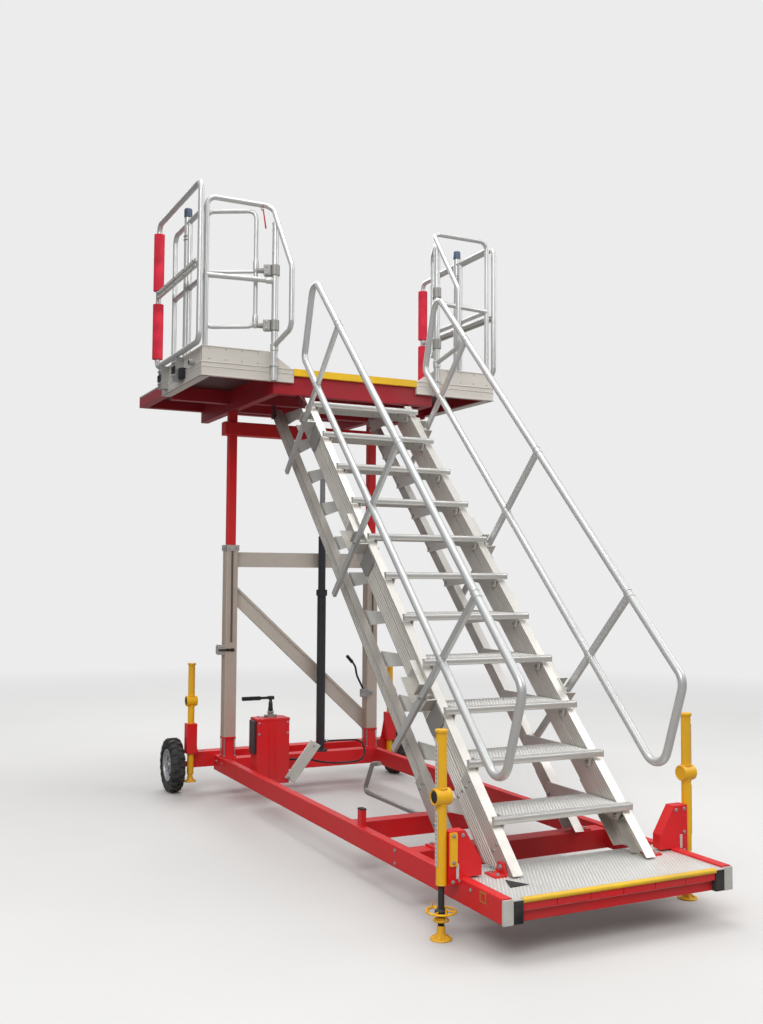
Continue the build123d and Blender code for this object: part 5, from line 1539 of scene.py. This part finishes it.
@dataclass
class TreadDress:
    """Punched grip, rolled nose and bolts of the eleven treads."""

    count: int = 11
    first: float = 0.1902
    pitch: float = 0.3189
    half: float = 0.340
    lip_half: float = 0.400
    nose_depth: float = 0.010
    bolt_in: float = 0.006

    def build_one(self, number: int) -> None:
        """Dresses one tread.

        Args:
            number: the tread, from 1 at the foot.
        """
        _, pivot_y, pivot_z = slope_point(0.0, self.first + (number - 1) * self.pitch)
        front, top, low = pivot_y - 0.050, pivot_z + 0.064, pivot_z + 0.030
        name = f"tread_{number:02d}"
        grip = Shape(f"{name}_grip")
        grip.studs((-self.half + 0.008, self.half - 0.008), (front + 0.026, front + 0.280), top)
        # The studs' tops take the grey that paints the shade in the holes.
        grip.piece(f"{name}_body", "grip_rim", second_finish="punched_hole_shade")
        nose = Shape(f"{name}_nose")
        rise = (top - low) / 2
        outline = [(front + 0.024, top + 0.0015), (front + 0.024, top - 0.002)]
        outline += [(front + 0.0125, low), (front + 0.010, low - 0.002)]
        for turn in (math.radians(-80 + 16 * step) for step in range(11)):
            y = front + 0.006 - self.nose_depth * math.cos(turn)
            outline.append((y, low + rise + (rise + 0.001) * math.sin(turn)))
        nose.prism([(-self.lip_half, y, z) for y, z in outline], (2 * self.lip_half, 0.0, 0.0))
        cheek = (self.lip_half, self.lip_half + 0.003)
        nose.boxes([(cheek, (front - 0.003, front + 0.013), (low - 0.001, top - 0.002))])
        nose.piece(f"{name}_body", "nose_aluminium")
        bolts = Shape(f"{name}_bolts")
        x = self.half - self.bolt_in
        bolts.bolts(
            (0.009, INWARD, [(x, pivot_y, pivot_z), (x, pivot_y + REAR_OFFSET, pivot_z)]),
            (0.006, INWARD, [(x, pivot_y + 0.11, pivot_z + 0.040)]),
        )
        bolts.piece(f"{name}_body", "zinc_steel")

    def build(self) -> None:
        """Dresses all the treads."""
        for number in range(self.count):
            self.build_one(number + 1)


@dataclass
class RailDress(Assembly):
    """Weld beads and bracket bolts of the handrails, channels and cheek plates on the stringers, and guide
    bolts of the sleeves.
    """

    x: float = 0.453
    tube: float = 0.021
    places: tuple[float, ...] = (0.976, 2.121, 3.266)
    heights: Pair = (0.750, 0.285)
    weld_off: float = 0.019
    outer: float = 0.4005
    bracket_half: float = 0.058
    channel_edges: Pair = (-0.128, 0.014)
    channel_depth: float = 0.042
    channel_wall: float = 0.004
    channel_reach: float = 0.235
    channel_stop: float = 3.390
    cheek: Pairs = (
        (-0.058, -0.120), (-0.058, 0.034), (-0.150, 0.034),
        (-0.180, 0.010), (-0.180, -0.090), (-0.155, -0.120),
    )
    sleeves: tuple[tuple[str, float, float], ...] = (("front", 0.350, 0.495), ("rear", 0.910, 0.365))

    def build_welds(self) -> None:
        """Puts weld beads where the posts meet the tubes."""
        beads = Shape("handrail_welds")
        for side, place, height, way in product(SIDES, self.places, self.heights, SIDES):
            middle = slope_point(side * self.x, place + way * self.weld_off, height)
            beads.ring(middle, SLOPE_AXIS, self.tube + 0.0005, 0.0026, 28)
        beads.piece("stair_frame", "rail_aluminium")

    def build_bolts(self) -> None:
        """Sets the bolts that hold the posts in their brackets."""
        bolts = Shape("post_bracket_bolts")
        grid = product(self.places, (-0.034, 0.034), (-0.024, 0.024))
        bolts.bolts(
            (0.0065, ACROSS, [slope_point(0.406, place + off, square) for place, off, square in grid]),
            (0.010, ACROSS, [slope_point(0.463, place) for place in self.places]),
        )
        bolts.piece("stair_frame", "zinc_steel")

    def build_channels(self) -> None:
        """Fixes an open channel above each post's bracket and a cheek plate below it."""
        channels, plates = Shape("post_channels"), Shape("post_cheek_plates")
        (low, high), wall, depth = self.channel_edges, self.channel_wall, self.channel_depth
        for place in self.places:
            start, end = place + self.bracket_half, min(place + self.channel_reach, self.channel_stop)
            walls = ((low, high, wall), (high - wall, high, depth), (low, low + wall, depth))
            for bottom, top, thick in walls:
                channels.slab((self.outer, self.outer + thick), oblong(start, end, bottom, top))
            cheek = [(place + along, square) for along, square in self.cheek]
            plates.slab((self.outer, self.outer + 0.006), cheek)
        channels.piece("stair_frame", "extruded_aluminium", bevel=0.0008)
        plates.piece("stair_frame", "clamp_grey", bevel=0.0015)

    def build_sleeve_bolts(self) -> None:
        """Sets guide bolts on the sleeves at the stair's foot."""
        for name, foot_y, reach in self.sleeves:
            bolts = Shape(f"{name}_sleeve_bolts")
            corners = product((0.10, reach - 0.05), (-0.022, 0.022))
            bolts.bolts((0.007, ACROSS, [slope_point(0.4053, *corner, foot_y) for corner in corners]))
            bolts.piece(f"{name}_sleeve_pair", "zinc_steel")


@dataclass
class StringerBacks(Assembly):
    """The deep ribbed backs of the front stringers, which slide in open backs of their sleeves."""

    x: Pair = (0.352, 0.3975)
    reach: Pair = (0.300, 3.475)
    square: Pair = (-0.130, -0.042)
    web_start: float = 0.690
    ribs: int = 5
    rib_pitch: float = 0.0168
    rib_half: float = 0.0045
    wall: float = 0.004
    sleeve_x: Pair = (0.4015, 0.4055)
    sleeve_end: float = 0.495
    sleeve_low: float = 0.268
    sleeve_square: Pair = (-0.137, -0.0405)

    def build_backs(self) -> None:
        """Makes the stringers' backs with their raised ribs."""
        shape = Shape("front_stringer_backs")
        (start, end), (low, high), (near, far) = self.reach, self.square, self.x
        shape.slab(self.x, oblong(start, end, low, high))
        shape.slab((near + 0.004, far - 0.003), oblong(self.web_start, end, high - 0.001, high + 0.009))
        for number in range(self.ribs):
            middle = high - 0.010 - number * self.rib_pitch
            rib = oblong(start, end, middle - self.rib_half, middle + self.rib_half)
            shape.slab((far - 0.001, far + 0.0025), rib)
        shape.piece("stair_frame", "back_extrusion", bevel=0.001)

    def build_sleeve_backs(self) -> None:
        """Makes the sleeves' backs: an outer wall with ribs and a rear wall, cut level over the base step."""
        shape, bolts = Shape("front_sleeve_backs"), Shape("front_sleeve_back_bolts")
        end, (low, high) = self.sleeve_end, self.sleeve_square
        rear = low + self.wall
        foot = (self.sleeve_low - FOOT_PIVOT[1]) / math.sin(STAIR_TURN)
        shape.slab(self.sleeve_x, ((foot - high, high), (end, high), (end, low), (foot - low, low)))
        rear_wall = ((foot - rear, rear), (end, rear), (end, low), (foot - low, low))
        shape.slab((self.x[0], self.sleeve_x[0]), rear_wall)
        for number in range(self.ribs):
            middle = -0.052 - number * self.rib_pitch
            start = foot - middle + self.rib_half
            shape.slab((0.405, 0.4075), oblong(start, end, middle - self.rib_half, middle + self.rib_half))
        places = [slope_point(0.4072, end - 0.045, square) for square in (-0.060, -0.111)]
        bolts.bolts((0.007, ACROSS, places))
        shape.piece("front_sleeve_pair", "back_extrusion", bevel=0.0008)
        bolts.piece("front_sleeve_pair", "zinc_steel")


@dataclass
class Gate(Assembly):
    """A swing gate: two bent frames, a middle rail, arms with couplings and clamps at its hinge post."""

    name: str
    side: int
    heading: float
    post: Pair = (0.616, 2.804)
    start: float = 0.130
    end: float = 0.470
    levels: Point = (3.240, 3.610, 4.020)
    arm_rise: float = 0.006
    bend: float = 0.060
    tube: float = 0.014
    clamp_reach: Pair = (0.026, 0.074)
    clamp_half: float = 0.025
    clamp_rise: float = 0.036
    coupling: Pairs = ((-0.045, 0.0155), (-0.040, 0.0185), (-0.016, 0.0195))

    def place(self, reach: float, z: float, across: float = 0.0) -> Point:
        """Returns a point on the gate, by its reach from the hinge, its height and its place off the gate."""
        c, s = math.cos(math.radians(self.heading)), math.sin(math.radians(self.heading))
        return (self.side * self.post[0] + reach * c - across * s, self.post[1] + reach * s + across * c, z)

    @property
    def arms(self) -> Pair:
        """The levels of the two arms."""
        return (self.levels[0] + self.arm_rise, self.levels[1] + self.arm_rise)

    def build_frame(self) -> None:
        """Bends the gate's two halves and adds the middle rail and the arms."""
        low, middle, top = self.levels
        half = (self.start + self.end) / 2
        shape = Shape(f"{self.name}_gate_frame")
        for end in (self.start, self.end):
            corners = ((half, top), (end, top), (end, low), (half, low))
            shape.bent([self.place(*corner) for corner in corners], self.bend, self.tube, 14)
        shape.rod(self.place(self.start, middle), self.place(self.end, middle), self.tube - 0.002)
        for level in self.arms:
            shape.rod(self.place(0.060, level), self.place(self.start, level), self.tube - 0.002)
        shape.piece(f"{self.name}_gate_body", "rail_aluminium", replaces=f"{self.name}_gate")

    def build_clamps(self) -> None:
        """Clamps the arms to the hinge post and sleeves them to the gate's stile."""
        names = ("clamps", "bolts", "couplings")
        clamps, bolts, couplings = (Shape(f"{self.name}_gate_{name}") for name in names)
        across = Vector(self.place(0, 0, 1)) - Vector(self.place(0, 0))
        (near, far), half, rise = self.clamp_reach, self.clamp_half, self.clamp_rise
        cuff = [(0.0, 0.0225), (0.0, 0.031), (2 * rise, 0.031), (2 * rise, 0.0225)]
        coupling = [*self.coupling, *((-along, radius) for along, radius in reversed(self.coupling))]
        for level in self.arms:
            corners = ((near, -half), (far, -half), (far, half), (near, half))
            clamps.prism([self.place(r, level - rise, a) for r, a in corners], (0.0, 0.0, 2 * rise))
            clamps.turned(self.place(0.0, level - rise), UP, cuff, 28, closed=True)
            clamps.rod(self.place(0.072, level), self.place(0.116, level), 0.020, 16, 0.0155)
            for height, way in product((level - 0.022, level + 0.022), SIDES):
                bolts.bolt(self.place(0.052, height, way * half), across * way, 0.006)
            couplings.turned(self.place(self.start, level + 0.030), UP, coupling, 22)
        clamps.piece(f"{self.name}_gate_body", "clamp_grey", bevel=0.003)
        bolts.piece(f"{self.name}_gate_body", "zinc_steel")
        couplings.piece(f"{self.name}_gate_body", "rail_aluminium")


@dataclass
class SlidingGuard(Assembly):
    """A sliding side guard: the bars on its middle rail and, where it differs, its own frame and foam."""

    name: str
    side: int
    front: float
    rear: float
    levels: Point
    rebuilt: bool = False
    foam: Pairs = ()
    x: float = 1.140
    tube: float = 0.019
    bend: float = 0.055
    foam_radius: float = 0.038
    foam_edge: float = 0.004
    bar_x: Pair = (1.155, 1.164)
    bar_half: float = 0.012
    bar_offs: Pair = (-0.020, 0.016)

    def build_frame(self) -> None:
        """Bends a rebuilt frame from two halves, adds its middle rail and the foam sleeves."""
        if not self.rebuilt:
            return
        low, middle, top = self.levels
        x, half = self.side * self.x, (self.front + self.rear) / 2
        shape = Shape(f"{self.name}_guard_frame")
        for end in (self.front, self.rear):
            corners = [(x, half, top), (x, end, top), (x, end, low), (x, half, low)]
            shape.bent(corners, self.bend, self.tube, 18)
        shape.rod((x, self.front, middle), (x, self.rear, middle), self.tube - 0.002, 18)
        shape.piece(f"{self.name}_slider", "rail_aluminium", replaces=f"{self.name}_sliding_guard")
        foam = Shape(f"{self.name}_guard_foam")
        wide, edge = self.foam_radius, self.foam_edge
        for start, end in self.foam:
            long = end - start
            profile = [(0.0, wide - edge), (edge, wide), (long - edge, wide), (long, wide - edge)]
            profile += [(long, self.tube), (0.0, self.tube)]
            foam.turned((x, self.rear, start), UP, profile, 32, closed=True)
        foam.piece(f"{self.name}_slider", "red_foam", replaces=f"{self.name}_foam_sleeves")

    def build_bars(self) -> None:
        """Bolts two flat bars to the outside of the middle rail."""
        bars, bolts = Shape(f"{self.name}_guard_bars"), Shape(f"{self.name}_guard_bar_bolts")
        start, end = self.front + 0.030, self.rear - 0.035
        for z in (self.levels[1] + off for off in self.bar_offs):
            bars.box(self.bar_x, (start, end), (z - self.bar_half, z + self.bar_half), self.side)
            for number in range(5):
                y = start + 0.04 + (end - start - 0.08) * number / 4
                bolts.bolt((self.side * self.bar_x[1], y, z), (self.side, 0, 0), 0.0075)
        bars.piece(f"{self.name}_slider", "extruded_aluminium", bevel=0.0015)
        bolts.piece(f"{self.name}_slider", "zinc_steel")


@dataclass
class PlatformDress(Assembly):
    """Trim lines, rivets, hinge clamps, slide fittings and the underside panels."""

    top: float = 2.970
    half: float = 1.100
    face: float = 2.826
    post: Pair = (0.616, 2.804)
    ledges: tuple[Point, ...] = ((2.966, 2.971, 0.004), (2.936, 2.940, 0.003), (2.877, 2.886, 0.006))
    side_ledges: tuple[Point, ...] = ((2.964, 2.970, 0.008), (2.934, 2.940, 0.006), (2.877, 2.884, 0.010))
    board_rows: Pair = (2.990, 3.056)
    rivet: Pairs = ((0.0, 0.0045), (0.002, 0.0040), (0.003, 0.0015))
    upright_x: float = 1.071
    uprights: tuple[float, ...] = (2.866, 3.250, 3.615)
    guard_post_y: float = 3.302
    cap: Pairs = ((0.0, 0.0260), (0.003, 0.0285), (0.055, 0.0285), (0.062, 0.0240), (0.064, 0.0100))
    joints: tuple[float, ...] = (2.890, 3.225, 3.275, 3.590)
    rail_level: float = 3.545
    slides: Pair = (3.250, 3.620)
    slide_level: float = 2.985
    inner: float = 0.603
    outer: float = 0.543
    edge: float = 1.040
    levels: Point = (2.800, 2.885, 2.958)
    front_bar: Pair = (2.846, 2.906)
    first_bar: Pair = (3.320, 3.380)
    second_bar: Pair = (3.750, 3.810)
    rear_bar: Pair = (4.420, 4.480)

    def build_trim(self) -> None:
        """Adds the ledges and the joint strips of the fascias and toe boards."""
        trim = Shape("fascia_ledges")
        for low, high, off in self.ledges:
            trim.boxes([((0.467, self.half), (self.face - off, self.face), (low, high))])
        trim.boxes([((self.half, self.half + 0.003), (y, y + 0.014), (2.972, 3.073)) for y in (2.86, 3.74)])
        trim.boxes([
            ((0.629, 0.645), (self.face - 0.003, self.face), (2.880, 2.966)),
            ((0.700, self.half), (self.face, self.face + 0.004), (3.068, 3.075)),
        ])
        trim.piece("platform", "board_aluminium", bevel=0.001)

    def build_rivets(self) -> None:
        """Rivets the boards along their edges."""
        rivets = Shape("board_rivets")
        front = [(0.72 + 0.11 * i, self.face + 0.004, z) for i, z in product(range(4), self.board_rows)]
        front += [(0.637, self.face - 0.003, z) for z in (2.895, 2.925, 2.952)]
        for place in front:
            rivets.twins(place, FORE, self.rivet, 10)
        for number, z in product(range(7), self.board_rows):
            rivets.twins((self.half, 2.90 + 0.135 * number, z), ACROSS, self.rivet, 10)
        rivets.piece("platform", "zinc_steel")

    def build_frame(self) -> None:
        """Builds the underframe, whose front bar is shallower under the wings."""
        bars = Shape("frame_bars")
        (deep, shallow, deck), inner, outer, edge = self.levels, self.inner, self.outer, self.edge
        bars.box((-inner, inner), self.front_bar, (deep, deck))
        bars.box((-outer, outer), self.first_bar, (deep, deck))
        bars.box((-outer, outer), self.second_bar, (deep, deck))
        bars.box((-self.half, self.half), self.rear_bar, (shallow, deck))
        bars.boxes([
            ((inner, 1.070), self.front_bar, (shallow, deck)),
            ((edge, self.half), (self.front_bar[0], self.rear_bar[0]), (shallow, deck)),
            ((outer, inner), (self.front_bar[1], self.rear_bar[1]), (deep, deck)),
            ((inner, edge), self.second_bar, (shallow - 0.030, deck)),
        ])
        # The underframe's darker red is partly painted shade.
        bars.piece("platform", "frame_shaded_red", bevel=0.003, replaces="underframe")
        beads = Shape("frame_welds")
        corners = [(inner, y, shallow) for y in (self.front_bar[1], *self.second_bar)]
        corners += [(outer, y, deep + 0.004) for y in (self.front_bar[1], *self.first_bar, *self.second_bar)]
        corners += [(edge, self.second_bar[0], shallow)]
        beads.rods([(corner, (*corner[:2], 2.950)) for corner in corners], 0.004, 8)
        beads.piece("platform", "frame_shaded_red")

    def build_side_covers(self) -> None:
        """Covers the frame's sides with the folded plate that goes on from the fascia."""
        covers = Shape("side_covers")
        covers.boxes([
            ((self.half, self.half + 0.004), (self.face, 3.790), (2.884, self.top)),
            ((self.edge, self.half + 0.008), (self.face, 3.790), (2.877, 2.884)),
        ])
        for low, high, off in self.side_ledges:
            covers.boxes([((self.half, self.half + off), (2.822, 3.790), (low, high))])
        covers.piece("platform", "board_aluminium", bevel=0.0012)

    def build_posts(self) -> None:
        """Adds flanges, caps and rail sockets at the hinge posts and the uprights' feet."""
        flanges = Shape("post_flanges")
        cap = [(0.0, 0.0225), (0.006, 0.0225), (0.012, 0.017), (0.014, 0.006)]
        flanges.twins((*self.post, 3.930), UP, cap, 24)
        flanges.twins((*self.post, 2.972), UP, [(0.0, 0.032), (0.006, 0.032), (0.009, 0.024)], 28)
        socket = [(-0.026, 0.0225), (-0.022, 0.027), (0.022, 0.027), (0.026, 0.0225)]
        flanges.twins((*self.post, 3.100), UP, socket, 28)
        run = Vector((0.455, 0.062, 0.0)).normalized()
        start = Vector((*self.post, self.rail_level)) + run * 0.020
        flanges.twins(start, run, [(0.0, 0.0225), (0.034, 0.0225), (0.042, 0.018)], 20)
        foot = [(0.0, 0.030), (0.006, 0.030), (0.010, 0.019)]
        for y in self.uprights:
            flanges.twins((self.upright_x, y, self.top), UP, foot, 24)
        flanges.piece("platform", "rail_aluminium")
        posts, caps, rings = Shape("guard_posts"), Shape("post_caps"), Shape("guard_rings")
        tube = [(0.0, 0.034), (0.006, 0.034), (0.008, 0.025), (1.086, 0.025)]
        posts.twins((self.upright_x, self.guard_post_y, self.top), UP, tube, 26)
        posts.piece("platform", "rail_aluminium")
        caps.twins((self.upright_x, self.guard_post_y, 4.050), UP, self.cap, 26)
        caps.piece("platform", "cap_blue")
        for x in (side * self.upright_x for side in SIDES):
            for z in (3.893, 3.917):
                rings.ring((x, self.guard_post_y, z), UP, 0.0268, 0.0038, 30)
            for y in self.joints:
                rings.ring((x, y, self.rail_level), (0, 1, 0), 0.0175, 0.0026, 24)
        rings.piece("platform", "clamp_grey")

    def build_slides(self) -> None:
        """Adds the rollers, bumpers and bolts that carry the sliding guards."""
        fittings, bumpers = Shape("slide_fittings"), Shape("slide_bumpers")
        level = self.slide_level
        places = product(self.slides, (0.016, 0.054), (3.030, 2.940))
        fittings.bolts((0.009, ACROSS, [(1.159, y + off, z) for y, off, z in places]))
        axles = [((1.100, y + 0.035, level), (1.166, y + 0.035, level)) for y in self.slides]
        fittings.rods(axles, 0.015, 20)
        fittings.rods([((1.098, 2.990, level), (1.142, 2.990, level))], 0.021, 22)
        fittings.piece("platform", "zinc_steel", bevel=0.001)
        bumpers.boxes([((1.158, 1.166), (y - 0.004, y + 0.074), (2.958, 3.004)) for y in self.slides])
        bumpers.boxes([((1.100, 1.140), (3.190, 3.240), (2.915, 2.985))])
        bumpers.rods([((1.1405, 2.990, level), (1.1435, 2.990, level))], 0.015, 20)
        bumpers.piece("platform", "black_rubber", bevel=0.003)

    def build_underside(self) -> None:
        """Lines the wings from below with perforated panels, whose dark red is painted shade under the wings.
        """
        panels = Shape("underside_panels")
        panels.boxes([((0.606, 1.037), y, (2.950, 2.958)) for y in ((2.909, 3.747), (3.813, 4.417))])
        panels.piece("platform", "shaded_underside_mesh")

    def build_tag(self) -> None:
        """Hangs the locking pin's plain red tag on the left front rail."""
        tag = Shape("pin_tag")
        tag.ring((-0.690, 2.866, 4.050), ACROSS, 0.0195, 0.0022, 24, 6)
        corners = ((-0.694, 4.034), (-0.686, 4.034), (-0.664, 3.905), (-0.674, 3.903))
        tag.prism([(x, 2.846, z) for x, z in corners], (0.0, 0.0025, 0.0))
        tag.piece("platform", "red_tag")


@dataclass
class Studio(Assembly):
    """Pale floor, soft lamps and the camera at the photograph's angle."""

    camera_place: Point = (-3.105, -6.073, 1.612)
    yaw: float = 26.357
    pitch: float = 3.25
    roll: float = 0.368
    focal_pixels: float = 1076.2
    long_side: float = 1024.0
    sensor: float = 36.0
    floor_half: float = 30.0
    fade: Pair = (3.5, 12.0)
    backdrop: Colour = (0.84, 0.84, 0.84)
    aim: Point = (0.0, 0.0, 1.6)
    lamps: tuple[tuple[str, Point, float, float], ...] = (
        ("lamp_front", (-5.5, -7.2, 7.5), 450.0, 6.0),
        ("lamp_right", (6.5, -3.7, 6.5), 220.0, 6.0),
        ("lamp_back", (1.0, 7.3, 7.0), 240.0, 5.0),
        ("lamp_top", (0.0, -0.2, 9.0), 260.0, 5.0),
    )

    def build_floor(self) -> None:
        """Lays a large pale floor that fades into the backdrop far off."""
        bm = bmesh.new()
        bmesh.ops.create_grid(bm, x_segments=24, y_segments=24, size=self.floor_half)
        mesh = bpy.data.meshes.new("studio_floor")
        bm.to_mesh(mesh)
        bm.free()
        floor = place_object("studio_floor", mesh)
        skin = Skin("pale_floor")
        graph = skin.graph
        place = graph.place()
        seen = graph.add("LightPath").outputs["Is Camera Ray"]
        shown = graph.mix(graph.cloud(0.7, 5.0, place), (0.62, 0.61, 0.59), (0.70, 0.69, 0.67))
        graph.fill(skin.shader.inputs["Base Color"], graph.mix(seen, (0.30, 0.29, 0.28), shown))
        skin.shader.inputs["Roughness"].default_value = 0.75
        far = graph.times(graph.spread(graph.vector("LENGTH", place).outputs["Value"], *self.fade), seen)
        glow = graph.add("Emission", {"Color": self.backdrop, "Strength": 1.0})
        both = graph.add("MixShader", {0: far, 1: skin.shader.outputs[0], 2: glow.outputs[0]})
        graph.fill(skin.output.inputs["Surface"], both.outputs[0])
        mesh.materials.append(skin.material)

    def build_lamps(self) -> None:
        """Hangs soft lamps round the object."""
        for name, place, power, size in self.lamps:
            data = bpy.data.lights.new(name, "AREA")
            data.energy = power
            data.shape = "DISK"
            data.size = size
            lamp = place_object(name, data)
            lamp.location = place
            lamp.rotation_euler = (Vector(self.aim) - Vector(place)).to_track_quat("-Z", "Y").to_euler()

    def build_world(self) -> None:
        """Sets a soft sky, of which the camera sees only the plain backdrop."""
        world = bpy.data.worlds.new("studio_world")
        world.use_nodes = True
        world.node_tree.nodes.clear()
        graph = Graph(world.node_tree)
        seen = graph.add("Background", {"Color": self.backdrop, "Strength": 1.0})
        rise = graph.axes(graph.add("TexCoord").outputs["Generated"])[2]
        sky = graph.mix(graph.spread(rise, 0.05, 0.75), (0.20, 0.20, 0.21), (1.0, 1.02, 1.05))
        lit = graph.add("Background", {"Color": sky, "Strength": 0.75})
        path = graph.add("LightPath").outputs["Is Camera Ray"]
        both = graph.add("MixShader", {0: path, 1: lit.outputs[0], 2: seen.outputs[0]})
        graph.add("OutputWorld", {"Surface": both.outputs[0]})
        bpy.context.scene.world = world

    def build_camera(self) -> None:
        """Stands the camera where the photograph was taken from and shows plain colours."""
        yaw, pitch, roll = (math.radians(angle) for angle in (self.yaw, self.pitch, self.roll))
        ahead = Vector((math.sin(yaw) * math.cos(pitch), math.cos(yaw) * math.cos(pitch), math.sin(pitch)))
        level = Vector((math.cos(yaw), -math.sin(yaw), 0.0))
        above = level.cross(ahead)
        right = level * math.cos(roll) + above * math.sin(roll)
        up = above * math.cos(roll) - level * math.sin(roll)
        data = bpy.data.cameras.new("photo_camera")
        data.sensor_width = self.sensor
        data.lens = self.sensor * self.focal_pixels / self.long_side
        data.clip_end = 200.0
        camera = place_object("photo_camera", data)
        turn = Matrix((right, up, -ahead)).transposed()
        camera.matrix_world = Matrix.Translation(self.camera_place) @ turn.to_4x4()
        bpy.context.scene.camera = camera
        bpy.context.scene.view_settings.view_transform = "Standard"


FRONT_JACK = (0.388, 0.236, 0.906, 0.622, 0.0, 0.050, 0.122)
REAR_JACK = (3.906, 0.140, 0.931, 0.669, 0.085, 0.044)
PARTS = (
    ChassisTrim(),
    Jack("front_left", -0.706, *FRONT_JACK),
    Jack("front_right", 0.706, *FRONT_JACK),
    Jack("rear_left", -0.815, *REAR_JACK),
    Jack("rear_right", 0.815, *REAR_JACK),
    *(ScaleStrip(side) for side in SIDES),
    *(Wheel(side) for side in SIDES),
    MastDress(),
    PumpDress(),
    TreadDress(),
    RailDress(),
    Gate("left", -1, 150.0),
    Gate("right", 1, 65.0),
    StringerBacks(),
    SlidingGuard("left", -1, 2.770, 3.800, (3.085, 3.600, 4.130)),
    SlidingGuard(
        "right", 1, 2.880, 3.980, (3.085, 3.525, 4.030), rebuilt=True, foam=((3.145, 3.500), (3.555, 3.965))
    ),
    PlatformDress(),
)


def main() -> None:
    """Builds the studio and dresses the platform, sub-assembly by sub-assembly."""
    logging.basicConfig(level=logging.INFO, format="%(name)s: %(message)s")
    Studio().build()
    HydraulicHose().build()
    dress_nodes()
    for part in PARTS:
        LOG.info("%s", type(part).__name__)
        part.build()


if __name__ == "__main__":
    main()
